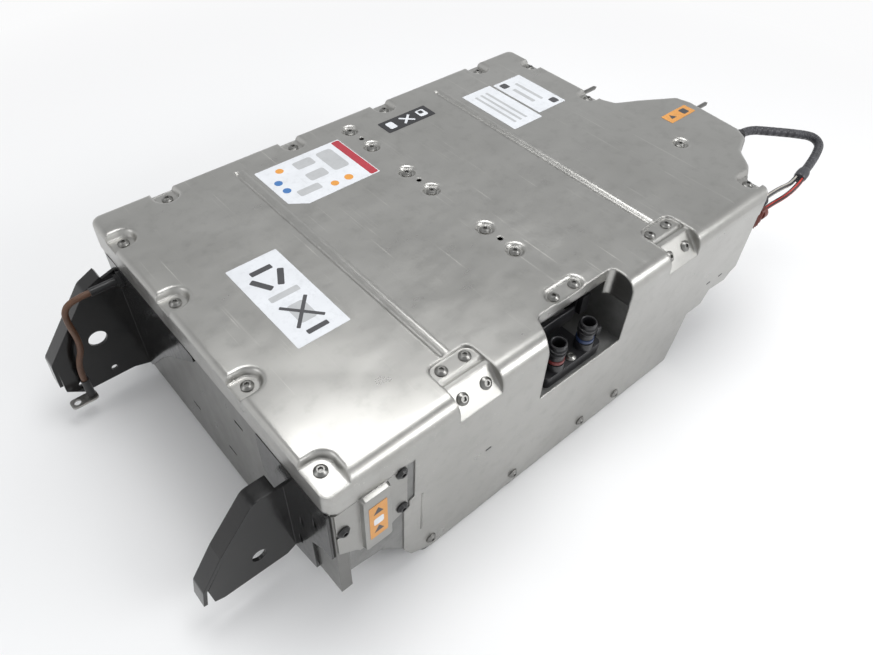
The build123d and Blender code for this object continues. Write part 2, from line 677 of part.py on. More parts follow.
# ---------------------------------------------------------------- front cover plate
PLATE_LEFT = LEFT + 5.0
PLATE_RIGHT = APRON_LEFT - 3.0
COVER_RISE = 5.0
with BuildPart() as front_cover_plate:
    with BuildSketch(Plane.XZ.offset(-TRAY_FRONT)):
        with BuildLine():
            Polyline(
                (PLATE_LEFT, LIP - 0.5),
                (PLATE_RIGHT, LIP - 0.5),
                (PLATE_RIGHT, 122.0),
                (PLATE_RIGHT - 16.0, 116.0),
                (PLATE_LEFT + 52.0, 108.0),
                (PLATE_LEFT + 22.0, 108.0),
                (PLATE_LEFT + 18.0, 114.0),
                (PLATE_LEFT, 128.0),
                (PLATE_LEFT, 156.0),
                (PLATE_LEFT + 3.0, 156.0),
                (PLATE_LEFT + 3.0, 162.0),
                (PLATE_LEFT, 162.0),
                close=True,
            )
        make_face()
    extrude(amount=TRAY_INSET)
    with BuildSketch(Plane.XZ.offset(-FRONT)):
        with Locations((LEFT + 46.0, 151.0)):
            RectangleRounded(32.0, 86.0, 4.0)
    extrude(amount=COVER_RISE, taper=12.0)
    with Locations(*[Location(place) for place in PLATE_PLACES]):
        Cylinder(SHANK + BOLT_GAP, 12.0, mode=Mode.SUBTRACT)
finish(front_cover_plate, "front_cover_plate")
screws("cover_plate_screws", PLATE_PLACES, 8.0)

# ---------------------------------------------------------------- blank stickers
STICKER = 0.3  # thickness
STICKER_CORNER = 1.5


def slab(node, corners, plane, thick):
    """A flat plate with rounded corners."""
    with BuildPart() as plate:
        with BuildSketch(plane):
            with BuildLine():
                FilletPolyline(*corners, radius=STICKER_CORNER, close=True)
            make_face()
        extrude(amount=thick)
    finish(plate, node)


def sticker(node, x0, x1, y0, y1, cut=0.0):
    """A bare sticker on the lid, with one corner cut off if asked."""
    first = [(x0, y0 + cut), (x0 + 1.4 * cut, y0)] if cut else [(x0, y0)]
    slab(node, first + [(x1, y0), (x1, y1), (x0, y1)], Plane.XY.offset(HEIGHT), STICKER)


sticker("recycling_sticker", -259.0, -199.0, -78.0, 56.0)
sticker("caution_sticker", -146.0, -25.0, 99.0, 186.0, 14.0)
sticker("data_sticker", 226.0, 278.0, 73.0, 163.0)
sticker("paper_sticker", 170.0, 222.0, 64.0, 166.0)
sticker("black_sticker", 36.0, 114.0, 157.0, 183.0)
sticker("orange_sticker", 348.0, 400.0, -56.0, -37.0)
slab(
    "cover_plate_sticker",
    [(LEFT + 36.0, 124.0), (LEFT + 56.0, 124.0), (LEFT + 56.0, 178.0), (LEFT + 36.0, 178.0)],
    Plane.XZ.offset(-FRONT + COVER_RISE),
    STICKER,
)

# ---------------------------------------------------------------- coolant connection
STUB_X = (-33.0, -33.0 + STUB_PITCH)
STUB_Y = FRONT + 16.0
MANIFOLD_TOP = 154.0
MANIFOLD_SCREW = (-10.0, FRONT + 13.0)

with BuildPart() as coolant_manifold:
    with BuildSketch(Plane.XY.offset(NICHE_FLOOR)):
        with Locations(((STUB_X[0] + STUB_X[1]) / 2, STUB_Y + 1.0)):
            RectangleRounded(STUB_PITCH + 40.0, 22.0, 6.0)
        with Locations(((STUB_X[0] + STUB_X[1]) / 2, (STUB_Y + NICHE_BACK) / 2)):
            Rectangle(STUB_PITCH + 6.0, NICHE_BACK - STUB_Y)
    extrude(amount=MANIFOLD_TOP - NICHE_FLOOR)
    for x in STUB_X:
        with BuildSketch(Plane((x, STUB_Y, MANIFOLD_TOP))):
            Circle(STUB_RADIUS + 1.5)
        extrude(amount=10.0)
        with BuildSketch(Plane((x, STUB_Y, MANIFOLD_TOP))):
            Circle(STUB_RADIUS)
        extrude(amount=STUB_HEIGHT)
        with Locations((x, STUB_Y, MANIFOLD_TOP + STUB_HEIGHT / 2 + 2.0)):
            Cylinder(STUB_BORE, STUB_HEIGHT, mode=Mode.SUBTRACT)
    add(drill([MANIFOLD_SCREW], SHANK + BOLT_GAP, MANIFOLD_TOP, 12.0), mode=Mode.SUBTRACT)
finish(coolant_manifold, "coolant_manifold")
screws("manifold_screw", upright([MANIFOLD_SCREW], MANIFOLD_TOP), 10.0)

with BuildPart() as niche_foil:
    with BuildSketch(Plane.XY.offset(NICHE_FLOOR)):
        with BuildLine():
            Polyline(
                (-69.0, NICHE_BACK),
                (-64.0, NICHE_BACK - 6.0),
                (-58.0, NICHE_BACK - 2.0),
                (-53.0, NICHE_BACK - 7.0),
                (-47.0, NICHE_BACK - 3.0),
                (-42.0, NICHE_BACK - 8.0),
                (-39.0, NICHE_BACK),
                close=True,
            )
        make_face()
    extrude(amount=66.0)
finish(niche_foil, "niche_foil")

with BuildPart() as niche_plug:
    with Locations((42.0, NICHE_BACK - 7.0, NICHE_FLOOR + 40.0)):
        Box(18.0, 14.0, 34.0)
    with Locations((42.0, NICHE_BACK - 17.0, NICHE_FLOOR + 40.0)):
        Box(12.0, 6.0, 26.0)
finish(niche_plug, "niche_plug")

# ---------------------------------------------------------------- cells and what holds them
FLOOR = WALL
LOWER_BASE = FLOOR + COOLER
UPPER_COOLER = RIGHT_SHELF + WALL
UPPER_BASE = UPPER_COOLER + COOLER
STACK = CELL_COUNT * CELL_THICK
CELL_FRONT = CELL_BACK - STACK - 2 * END_PLATE
ROW_MIDDLE = (CELL_FRONT + CELL_BACK) / 2
ROWS = [(n - 1.5) * BOLT_PITCH for n in range(4)]
CELL_GAP = 0.5


def cells(node, x, base):
    """One module: a row of separate prismatic cells along Y."""
    with BuildPart() as row:
        with Locations((x, ROW_MIDDLE, base + CELL_HEIGHT / 2)):
            with GridLocations(1.0, CELL_THICK, 1, CELL_COUNT):
                Box(CELL_LENGTH, CELL_THICK - CELL_GAP, CELL_HEIGHT)
    finish(row, node)


def end_plates(node, rows, base):
    """Pressure plates at both ends of each module."""
    with BuildPart() as plates:
        for x in rows:
            for y in (CELL_FRONT + END_PLATE / 2, CELL_BACK - END_PLATE / 2):
                with Locations((x, y, base + CELL_HEIGHT / 2)):
                    Box(CELL_LENGTH - 4.0, END_PLATE, CELL_HEIGHT)
    finish(plates, node)


def contact_covers(node, rows, base, thick):
    """Insulating covers over the cell contacts."""
    with BuildPart() as covers:
        for x in rows:
            with Locations((x, ROW_MIDDLE, base + CELL_HEIGHT + thick / 2)):
                Box(CELL_LENGTH - 34.0, STACK, thick)
    finish(covers, node)


for n, x in enumerate(ROWS):
    cells(f"upper_cells_{n + 1}", x, UPPER_BASE)
for n, x in enumerate(ROWS[1:3]):
    cells(f"lower_cells_{n + 1}", x, LOWER_BASE)
end_plates("upper_end_plates", ROWS, UPPER_BASE)
end_plates("lower_end_plates", ROWS[1:3], LOWER_BASE)
contact_covers("upper_contact_covers", ROWS, UPPER_BASE, 4.0)
contact_covers("lower_contact_covers", ROWS[1:3], LOWER_BASE, 4.0)

DEPTH_Y = CELL_BACK - CELL_FRONT
with BuildPart() as upper_cooling_plate:
    with Locations((0.0, ROW_MIDDLE, UPPER_COOLER + COOLER / 2)):
        Box(4 * CELL_LENGTH + 30.0, DEPTH_Y, COOLER)
finish(upper_cooling_plate, "upper_cooling_plate")
with BuildPart() as lower_cooling_plate:
    with Locations((0.0, ROW_MIDDLE, FLOOR + COOLER / 2)):
        Box(2 * CELL_LENGTH + 14.0, DEPTH_Y, COOLER)
finish(lower_cooling_plate, "lower_cooling_plate")


def crossmember(x, base, top):
    """An I-shaped bar between two modules, along Y."""
    with BuildPart() as beam:
        with BuildSketch(Plane.XZ.offset(-CELL_BACK)):
            with Locations((x, (base + top) / 2)):
                Rectangle(MEMBER - 5.0, top - base)
            with Locations((x, top - 8.0)):
                Rectangle(MEMBER, 16.0)
            with Locations((x, base + 5.0)):
                Rectangle(MEMBER, 10.0)
        extrude(amount=DEPTH_Y)
    return beam.part


with BuildPart() as centre_crossmember:
    add(crossmember(0.0, UPPER_BASE, MEMBER_TOP))
    add(drill(CENTRE_BOLTS, SHANK + BOLT_GAP, MEMBER_TOP, 14.0), mode=Mode.SUBTRACT)
    add(drill(CENTRE_HOLES, SHANK, MEMBER_TOP, 10.0), mode=Mode.SUBTRACT)
finish(centre_crossmember, "centre_crossmember")
with BuildPart() as side_crossmembers:
    add(crossmember(-BOLT_PITCH, UPPER_BASE, RIM_TOP))
    add(crossmember(BOLT_PITCH, UPPER_BASE, RIM_TOP))
finish(side_crossmembers, "side_crossmembers")
with BuildPart() as lower_crossmember:
    add(crossmember(0.0, LOWER_BASE, UPPER_COOLER))
finish(lower_crossmember, "lower_crossmember")
with BuildPart() as cooler_support:
    with Locations((TUB_LEFT + WALL + 14.0, ROW_MIDDLE, (LEFT_SHELF + WALL + UPPER_COOLER) / 2)):
        Box(16.0, DEPTH_Y, UPPER_COOLER - LEFT_SHELF - WALL)
finish(cooler_support, "cooler_support")

# ---------------------------------------------------------------- electrics inside
BOX_AT = (RIGHT + 36.0, -70.0)
BOX_WIDE = 66.0
BOX_DEEP = 78.0
BOX_HIGH = 76.0
BOX_OVERHANG = 2.0
with BuildPart() as junction_box:
    with BuildSketch(Plane.XY.offset(UPPER_COOLER)):
        with Locations(BOX_AT):
            RectangleRounded(BOX_WIDE, BOX_DEEP, 6.0)
    extrude(amount=BOX_HIGH)
finish(junction_box, "junction_box")
with BuildPart() as junction_box_cover:
    with BuildSketch(Plane.XY.offset(UPPER_COOLER + BOX_HIGH)):
        with Locations(BOX_AT):
            RectangleRounded(BOX_WIDE + 2 * BOX_OVERHANG, BOX_DEEP + 2 * BOX_OVERHANG, 7.0)
    extrude(amount=8.0)
finish(junction_box_cover, "junction_box_cover")
with BuildPart() as cell_controller:
    with BuildSketch(Plane.XY.offset(FLOOR)):
        with Locations((178.0, -30.0)):
            RectangleRounded(34.0, 150.0, 4.0)
    extrude(amount=80.0)
finish(cell_controller, "cell_controller")

# ---------------------------------------------------------------- connectors at the right end
WALL_FACE = RIGHT - TRAY_INSET


def plug(node, x, y, z, length, wide, high, neck):
    """A connector on the end wall: flange, body and a narrower cable end."""
    with BuildPart() as body:
        with Locations((x + 2.0, y, z)):
            Box(4.0, wide + 3.0, high + 3.0)
        with Locations((x + 4.0 + length / 2, y, z)):
            Box(length, wide, high)
        with Locations(Location((x + 4.0 + length + neck / 2, y, z), (0, 90, 0))):
            Cylinder(high / 2 - 1.0, neck)
    finish(body, node)
    return x + 4.0 + length + neck


PLUG_Y = -202.3
BLACK_PLUG_Z = 183.0
RED_PLUG_Z = 158.0
BLACK_END = plug("black_connector", WALL_FACE, PLUG_Y, BLACK_PLUG_Z, 30.0, 14.0, 18.0, 6.0)
RED_END = plug("red_connector", WALL_FACE, PLUG_Y, RED_PLUG_Z, 42.0, 14.0, 21.0, 8.0)
BULGE_WALL = BULGE_RIGHT - 6.4
HARNESS_END = plug("harness_connector", BULGE_WALL, HARNESS_Y, HARNESS_Z, 22.0, HARNESS_WIDE, 16.0, 6.0)


def round_piece(node, at, level, way, sections, start=-TRAY_INSET):
    """A stepped round piece from the tray's wall, given as (radius, length) outwards."""
    with BuildPart() as piece:
        reach = start
        for radius, length in sections:
            base = Plane(origin=(*at, level), x_dir=(0, 0, 1), z_dir=way).offset(reach)
            with BuildSketch(base):
                Circle(radius)
            extrude(amount=length)
            reach += length
    finish(piece, node)


round_piece("vent_cap", VENT_AT, HARNESS_Z, VENT_WAY, [(VENT_RADIUS, 18.0), (VENT_RADIUS - 3.0, 6.0)])
SOCKET_LENGTH = 10.0
SOCKET_TIP = SOCKET_LENGTH - TRAY_INSET
round_piece("high_voltage_socket", SOCKET_AT, SOCKET_Z, SOCKET_WAY, [(SOCKET_RADIUS, SOCKET_LENGTH)])
round_piece("socket_insert", SOCKET_AT, SOCKET_Z, SOCKET_WAY, [(SOCKET_RADIUS - 2.5, 5.0)], SOCKET_TIP)


# ---------------------------------------------------------------- cables
def bends(route):
    """Arc radii of a cable's corners: as large as the two runs beside each allow."""
    radii = []
    for back, here, ahead in zip(route, route[1:], route[2:]):
        into = Vector(*here) - Vector(*back)
        out = Vector(*ahead) - Vector(*here)
        half_turn = radians(into.get_angle(out)) / 2
        radii.append(0.45 * min(into.length, out.length) / tan(half_turn))
    return radii


def tube(node, route, radius):
    """A cable of straight runs joined by tangent arcs."""
    radii = bends(route)
    with BuildPart() as cable:
        with BuildLine() as path:
            FilletPolyline(*route, radius=radii)
        start = Plane(origin=path.line @ 0, z_dir=path.line % 0)
        with BuildSketch(start):
            Circle(radius)
        sweep()
    length = path.wires()[0].length
    share = cable.part.volume / (pi * radius**2 * length)
    print(node, "length", round(length, 1), "tightest bend", round(min(radii), 1), "volume", round(share, 4))
    finish(cable, node)


def collar(node, start, end, radius):
    """A straight round sleeve between two points."""
    way = Vector(*end) - Vector(*start)
    with BuildPart() as sleeve:
        with BuildSketch(Plane(origin=start, z_dir=way)):
            Circle(radius)
        extrude(amount=way.length)
    finish(sleeve, node)


HARNESS_RADIUS = 6.0
HARNESS_ROUTE = [
    (HARNESS_END, HARNESS_Y, HARNESS_Z),
    (HARNESS_END + 18.0, HARNESS_Y, HARNESS_Z),
    (488.0, -131.0, 201.0),
    (520.0, -159.0, 198.0),
    (536.0, -172.0, 194.0),
    (533.0, -186.0, 190.0),
    (514.0, -193.0, 187.0),
    (490.0, -199.0, 184.0),
    (472.0, -202.0, 182.0),
]
tube("harness_loop", HARNESS_ROUTE, HARNESS_RADIUS)

# The taped joint goes on along the loop's last run, and both branches leave its end face square.
JOINT_LENGTH = 22.0
JOINT_START = Vector(*HARNESS_ROUTE[-1])
JOINT_WAY = (JOINT_START - Vector(*HARNESS_ROUTE[-2])).normalized()
JOINT_END = JOINT_START + JOINT_WAY * JOINT_LENGTH
JOINT_SIDE = JOINT_WAY.cross(Vector(0, 0, 1)).normalized()
collar("harness_joint", HARNESS_ROUTE[-1], tuple(JOINT_END), HARNESS_RADIUS + 2.5)

BRANCH_RADIUS = 3.2
BRANCH_OFFSET = 4.0
BRANCH_RUN = 16.0
BLACK_START = JOINT_END + JOINT_SIDE * BRANCH_OFFSET
RED_START = JOINT_END - JOINT_SIDE * BRANCH_OFFSET
BLACK_BRANCH = [
    tuple(BLACK_START),
    tuple(BLACK_START + JOINT_WAY * BRANCH_RUN),
    (410.0, -203.6, 182.0),
    (388.0, PLUG_Y, BLACK_PLUG_Z),
    (BLACK_END, PLUG_Y, BLACK_PLUG_Z),
]
RED_BRANCH = [
    tuple(RED_START),
    tuple(RED_START + JOINT_WAY * BRANCH_RUN),
    (418.0, -210.0, 168.0),
    (400.0, PLUG_Y, RED_PLUG_Z),
    (RED_END, PLUG_Y, RED_PLUG_Z),
]
tube("black_branch", BLACK_BRANCH, BRANCH_RADIUS)
tube("red_branch", RED_BRANCH, BRANCH_RADIUS)

GROUND_RADIUS = 3.6
GROUND_Y = 180.0
STUD_Z = 174.0
STUD_WASHER = 2.0
STUD_NUT = 4.0
BRACKET_FACE = END_FACE - PLATE
LUG_X = LEFT - 80.0
LUG_Z = 26.0
LUG_THICK = 2.5
LUG_NECK = 1.0
GROUND_ROUTE = [
    (LEFT - 36.0, GROUND_Y, STUD_Z),
    (LEFT - 50.0, GROUND_Y, STUD_Z),
    (LEFT - 64.0, GROUND_Y, 170.0),
    (LEFT - 70.0, GROUND_Y, 156.0),
    (LEFT - 66.0, GROUND_Y, 108.0),
    (LUG_X, GROUND_Y, 82.0),
    (LUG_X, GROUND_Y, 58.0),
]
tube("ground_cable", GROUND_ROUTE, GROUND_RADIUS)
SLEEVE_RADIUS = GROUND_RADIUS + 1.2
NUT_FACE = BRACKET_FACE - STUD_WASHER - STUD_NUT
collar("upper_cable_sleeve", (NUT_FACE, GROUND_Y, STUD_Z), GROUND_ROUTE[0], SLEEVE_RADIUS)
LUG_TOP = LUG_Z + LUG_THICK + LUG_NECK
collar("lower_cable_sleeve", GROUND_ROUTE[-1], (LUG_X, GROUND_Y, LUG_TOP), SLEEVE_RADIUS)

LUG_LENGTH = 32.0
LUG_WIDTH = 15.0
LUG_HOLE = 4.2
LUG_FRONT = 6.0
LUG_HOLE_INSET = 8.0
LUG_MIDDLE = LUG_X + LUG_FRONT - LUG_LENGTH / 2
with BuildPart() as ground_lug:
    with BuildSketch(Plane.XY.offset(LUG_Z)):
        with Locations((LUG_MIDDLE, GROUND_Y)):
            RectangleRounded(LUG_LENGTH, LUG_WIDTH, 5.0)
        with Locations((LUG_MIDDLE - LUG_LENGTH / 2 + LUG_HOLE_INSET, GROUND_Y)):
            Circle(LUG_HOLE, mode=Mode.SUBTRACT)
    extrude(amount=LUG_THICK)
    with BuildSketch(Plane((LUG_X, GROUND_Y, LUG_Z + LUG_THICK))):
        Circle(GROUND_RADIUS)
    extrude(amount=LUG_NECK)
finish(ground_lug, "ground_lug")

with BuildPart() as ground_stud:
    post = Plane(origin=(BRACKET_FACE, GROUND_Y, STUD_Z), x_dir=(0, 1, 0), z_dir=(-1, 0, 0))
    with BuildSketch(post):
        Circle(9.0)
    extrude(amount=STUD_WASHER)
    with BuildSketch(post.offset(STUD_WASHER)):
        RegularPolygon(7.5, 6)
    extrude(amount=STUD_NUT)
finish(ground_stud, "ground_stud")
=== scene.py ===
import logging
import math
from dataclasses import dataclass, field
from enum import Enum
from typing import Iterable, Sequence

import bmesh
import bpy
from mathutils import Matrix, Vector


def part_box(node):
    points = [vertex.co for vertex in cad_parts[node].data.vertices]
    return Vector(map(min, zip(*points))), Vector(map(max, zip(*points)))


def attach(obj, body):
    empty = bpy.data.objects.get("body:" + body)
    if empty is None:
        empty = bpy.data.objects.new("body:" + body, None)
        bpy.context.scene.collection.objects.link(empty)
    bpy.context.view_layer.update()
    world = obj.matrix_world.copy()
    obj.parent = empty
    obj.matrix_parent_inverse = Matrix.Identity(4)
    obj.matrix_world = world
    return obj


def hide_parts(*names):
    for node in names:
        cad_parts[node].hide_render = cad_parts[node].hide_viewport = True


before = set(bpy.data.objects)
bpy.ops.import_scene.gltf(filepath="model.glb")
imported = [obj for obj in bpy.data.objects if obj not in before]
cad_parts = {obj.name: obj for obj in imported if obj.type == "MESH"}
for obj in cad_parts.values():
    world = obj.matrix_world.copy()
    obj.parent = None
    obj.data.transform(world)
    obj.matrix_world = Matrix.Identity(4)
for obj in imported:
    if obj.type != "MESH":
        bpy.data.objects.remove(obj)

log = logging.getLogger("battery")
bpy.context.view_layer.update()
MM = 0.001
EVEN = (1.0, 1.0, 1.0)  # no stretch
SQUARE = (0.0, 0.0, 0.0)  # no turn
NOISE_ROUGHNESS = 0.6
BEVEL_SAMPLES = 6
WELD_DISTANCE = 0.000002
EDGE_ANGLE = 30.0  # sharp edges are steeper than this, in degrees
MOULDED_ANGLE = 40.0  # the same for moulded pieces

# A set of scratches each: its turn and its density.
SCRATCH_SETS = (((0.0, 0.0, 0.25), 3.2), ((0.0, 0.4, -0.7), 2.4), ((0.9, 0.0, 1.5), 2.8))
SCRATCH_STRETCH = (150.0, 1.6, 150.0)
SCRATCH_PATCH = 14.0
SCRATCH_DULL = 0.15  # roughness that a scratch adds
STAIN_SCALE = 8.0
STAIN_SHARE = 0.3
STAIN_SHADE = 0.78
SMEAR_SCALE = 2.3
DENT_SCALE = 9.0
DENT_DEPTH = 0.0005
WIRE_STRETCH = (0.4, 1.0, 1.0)
WIRE_TURN = (0.0, 0.0, math.pi / 2)

Colour = tuple[float, float, float]
Point = tuple[float, float, float]
Pair = tuple[float, float]
Socket = bpy.types.NodeSocket


class Grain(Enum):
    """The small-scale surface that a finish shows."""

    SATIN = "satin"
    CAST = "cast"
    MOULDED = "moulded"
    PAINT = "paint"
    FILM = "film"
    TAPE = "tape"
    WIRES = "wires"
    CRUMPLED = "crumpled"


class Tree:
    """A short way to write a material's nodes."""

    def __init__(self, name: str) -> None:
        """Starts an empty material.

        Args:
            name: The material's name.
        """
        self.material = bpy.data.materials.new(name)
        self.material.use_nodes = True
        self.nodes = self.material.node_tree.nodes
        self.links = self.material.node_tree.links
        self.nodes.clear()
        self.place = self.nodes.new("ShaderNodeTexCoord")

    def link(self, source: Socket, target: Socket) -> None:
        """Joins two sockets."""
        self.links.new(source, target)

    def mapped(self, scale: Point, turn: Point, uv: bool = False) -> Socket:
        """Object or surface coordinates, turned and stretched.

        Args:
            scale: Stretch along each axis.
            turn: Rotation about each axis, in radians.
            uv: True for the surface's own coordinates.

        Returns:
            The vector socket.
        """
        node = self.nodes.new("ShaderNodeMapping")
        self.link(self.place.outputs["UV" if uv else "Object"], node.inputs["Vector"])
        node.inputs["Scale"].default_value = scale
        node.inputs["Rotation"].default_value = turn
        return node.outputs["Vector"]

    def noise(self, vector: Socket, scale: float, detail: float = 3.0) -> Socket:
        """A noise value between 0 and 1.

        Args:
            vector: Where the noise is read.
            scale: Features per metre.
            detail: Octaves.

        Returns:
            The value socket.
        """
        node = self.nodes.new("ShaderNodeTexNoise")
        self.link(vector, node.inputs["Vector"])
        node.inputs["Scale"].default_value = scale
        node.inputs["Detail"].default_value = detail
        node.inputs["Roughness"].default_value = NOISE_ROUGHNESS
        return node.outputs["Fac"]

    def ramp(self, value: Socket, low: float, high: float, a: float, b: float) -> Socket:
        """Maps low..high of a value to a..b, clamped.

        Args:
            value: The value to map.
            low: Start of its range.
            high: End of its range.
            a: Result at low.
            b: Result at high.

        Returns:
            The mapped value's socket.
        """
        node = self.nodes.new("ShaderNodeMapRange")
        self.link(value, node.inputs["Value"])
        for key, number in (("From Min", low), ("From Max", high), ("To Min", a), ("To Max", b)):
            node.inputs[key].default_value = number
        return node.outputs["Result"]

    def maths(self, kind: str, a: Socket, b: Socket | float) -> Socket:
        """One arithmetic step on values.

        Args:
            kind: Blender's name of the step.
            a: First value.
            b: Second value, a socket or a number.

        Returns:
            The result's socket.
        """
        node = self.nodes.new("ShaderNodeMath")
        node.operation = kind
        self.link(a, node.inputs[0])
        if isinstance(b, (int, float)):
            node.inputs[1].default_value = b
        else:
            self.link(b, node.inputs[1])
        return node.outputs[0]

    def blend(self, factor: Socket, a: Colour | Socket, b: Colour) -> Socket:
        """Mixes two colours.

        Args:
            factor: How much of b shows.
            a: First colour, or its socket.
            b: Second colour.

        Returns:
            The colour socket.
        """
        node = self.nodes.new("ShaderNodeMix")
        node.data_type = "RGBA"
        self.link(factor, node.inputs[0])
        if isinstance(a, tuple):
            node.inputs[6].default_value = (*a, 1.0)
        else:
            self.link(a, node.inputs[6])
        node.inputs[7].default_value = (*b, 1.0)
        return node.outputs[2]

    def wave(self, vector: Socket, scale: float, twist: float) -> Socket:
        """Bands across a direction.

        Args:
            vector: Where the bands are read.
            scale: Bands per unit.
            twist: How much they wander.

        Returns:
            The value socket.
        """
        node = self.nodes.new("ShaderNodeTexWave")
        self.link(vector, node.inputs["Vector"])
        node.inputs["Scale"].default_value = scale
        node.inputs["Distortion"].default_value = twist
        node.inputs["Detail"].default_value = 1.0
        return node.outputs["Fac"]

    def bump(
        self, height: Socket, depth: float, below: Socket | None
    ) -> Socket:
        """Surface relief.

        Args:
            height: The relief's value.
            depth: Its depth in metres.
            below: A normal that it lies on, if any.

        Returns:
            The normal socket.
        """
        node = self.nodes.new("ShaderNodeBump")
        node.inputs["Strength"].default_value = 1.0
        node.inputs["Distance"].default_value = depth
        self.link(height, node.inputs["Height"])
        if below is not None:
            self.link(below, node.inputs["Normal"])
        return node.outputs["Normal"]

    def rounded(self, radius: float) -> Socket:
        """Normals with the sharp edges eased.

        Args:
            radius: The eased radius in metres.

        Returns:
            The normal socket.
        """
        node = self.nodes.new("ShaderNodeBevel")
        node.samples = BEVEL_SAMPLES
        node.inputs["Radius"].default_value = radius
        return node.outputs["Normal"]


@dataclass(frozen=True)
class Finish:
    """One finish: its colours, gloss, relief, scuffs and eased edges."""

    name: str
    slot: str
    colour: Colour
    patch: Colour
    metal: float = 0.0
    rough: Pair = (0.4, 0.55)
    grain: Grain = Grain.MOULDED
    relief: float = 0.00004
    scuff: float = 0.0
    scuff_colour: Colour = (0.5, 0.5, 0.5)
    patch_scale: float = 9.0
    edge: float = 0.0006

    def scratches(self, tree: Tree) -> Socket:
        """Thin straight scratches in several directions, gathered in patches.

        Args:
            tree: The material's nodes.

        Returns:
            A value socket, 1 on a scratch.
        """
        total = None
        for turn, scale in SCRATCH_SETS:
            line = tree.noise(tree.mapped(SCRATCH_STRETCH, turn), scale, 2.0)
            where = tree.noise(tree.mapped(EVEN, (turn[2], turn[0], 0.3)), SCRATCH_PATCH, 2.0)
            cut = tree.ramp(line, 0.665, 0.71, 0.0, 0.8)
            cut = tree.maths("MULTIPLY", cut, tree.ramp(where, 0.5, 0.64, 0.0, 1.0))
            total = cut if total is None else tree.maths("MAXIMUM", total, cut)
        return total

    def relief_value(self, tree: Tree) -> Socket:
        """The height pattern that the grain asks for.

        Args:
            tree: The material's nodes.

        Returns:
            A value socket.
        """
        even = tree.mapped(EVEN, SQUARE)
        if self.grain is Grain.CAST:
            return tree.noise(even, 420.0, 5.0)
        if self.grain is Grain.SATIN:
            return tree.noise(tree.mapped((900.0, 60.0, 900.0), (0.0, 0.0, 0.1)), 1.0, 2.0)
        if self.grain is Grain.TAPE:
            return tree.wave(tree.mapped((1.0, 0.12, 1.0), SQUARE, True), 9.0, 1.5)
        if self.grain is Grain.WIRES:
            return tree.wave(tree.mapped(WIRE_STRETCH, WIRE_TURN, True), 1.6, 0.0)
        if self.grain is Grain.CRUMPLED:
            return tree.noise(even, 120.0, 6.0)
        return tree.noise(even, 1400.0 if self.grain is Grain.MOULDED else 500.0, 3.0)

    def material(self) -> bpy.types.Material:
        """Makes the material once and returns it.

        Returns:
            The material.
        """
        known = bpy.data.materials.get(f"finish_{self.name}")
        if known is not None:
            return known
        tree = Tree(f"finish_{self.name}")
        even = tree.mapped(EVEN, SQUARE)
        mottle = tree.noise(even, self.patch_scale, 5.0)
        colour = tree.blend(tree.ramp(mottle, 0.32, 0.68, 0.0, 1.0), self.colour, self.patch)
        stain = tree.noise(even, self.patch_scale * STAIN_SCALE, 4.0)
        stained = tuple(STAIN_SHADE * value for value in self.patch)
        colour = tree.blend(tree.ramp(stain, 0.52, 0.72, 0.0, STAIN_SHARE), colour, stained)
        across = tree.mapped((1.0, 2.2, 1.3), (0.3, 0.1, 0.6))
        smear = tree.noise(across, self.patch_scale * SMEAR_SCALE, 4.0)
        rough = tree.ramp(smear, 0.3, 0.7, *self.rough)
        if self.grain is Grain.WIRES:
            stripes = tree.wave(tree.mapped(WIRE_STRETCH, WIRE_TURN, True), 0.8, 0.0)
            colour = tree.blend(tree.ramp(stripes, 0.80, 0.84, 0.0, 1.0), colour, self.scuff_colour)
        elif self.scuff > 0.0:
            worn = tree.maths("MULTIPLY", self.scratches(tree), self.scuff)
            colour = tree.blend(worn, colour, self.scuff_colour)
            rough = tree.maths("ADD", rough, tree.maths("MULTIPLY", worn, SCRATCH_DULL))
        normal = tree.rounded(self.edge) if self.edge > 0.0 else None
        normal = tree.bump(self.relief_value(tree), self.relief, normal)
        if self.grain is Grain.SATIN:
            normal = tree.bump(tree.noise(even, DENT_SCALE, 1.0), DENT_DEPTH, normal)
        shader = tree.nodes.new("ShaderNodeBsdfPrincipled")
        shader.inputs["Metallic"].default_value = self.metal
        tree.link(colour, shader.inputs["Base Color"])
        tree.link(rough, shader.inputs["Roughness"])
        tree.link(normal, shader.inputs["Normal"])
        output = tree.nodes.new("ShaderNodeOutputMaterial")
        tree.link(shader.outputs["BSDF"], output.inputs["Surface"])
        tree.material.diffuse_color = (*self.colour, 1.0)
        return tree.material


def steel(name: str, slot: str, level: float, scuff: float, edge: float) -> Finish:
    """A satin stainless finish.

    Args:
        name: The finish's name.
        slot: The record's slot.
        level: Brightness of the metal.
        scuff: How strong its scratches are.
        edge: Eased edge radius in metres.

    Returns:
        The finish.
    """
    colour = (level * 1.04, level * 1.03, level * 0.99)
    patch = (level * 0.93, level * 0.92, level * 0.88)
    worn = (level * 1.35, level * 1.33, level * 1.26)
    rough = (0.27, 0.37)
    return Finish(name, slot, colour, patch, 1.0, rough, Grain.SATIN, 0.0000015, scuff, worn, 8.0, edge)


def plastic(name: str, slot: str, colour: Colour, rough: Pair = (0.35, 0.5)) -> Finish:
    """A moulded plastic finish with a fine grain.

    Args:
        name: The finish's name.
        slot: The record's slot.
        colour: Its colour.
        rough: Lowest and highest roughness.

    Returns:
        The finish.
    """
    patch = tuple(0.8 * value + 0.004 for value in colour)
    worn = tuple(min(1.0, 1.6 * value + 0.03) for value in colour)
    return Finish(name, slot, colour, patch, 0.0, rough, Grain.MOULDED, 0.00003, 0.5, worn, 40.0, 0.0005)


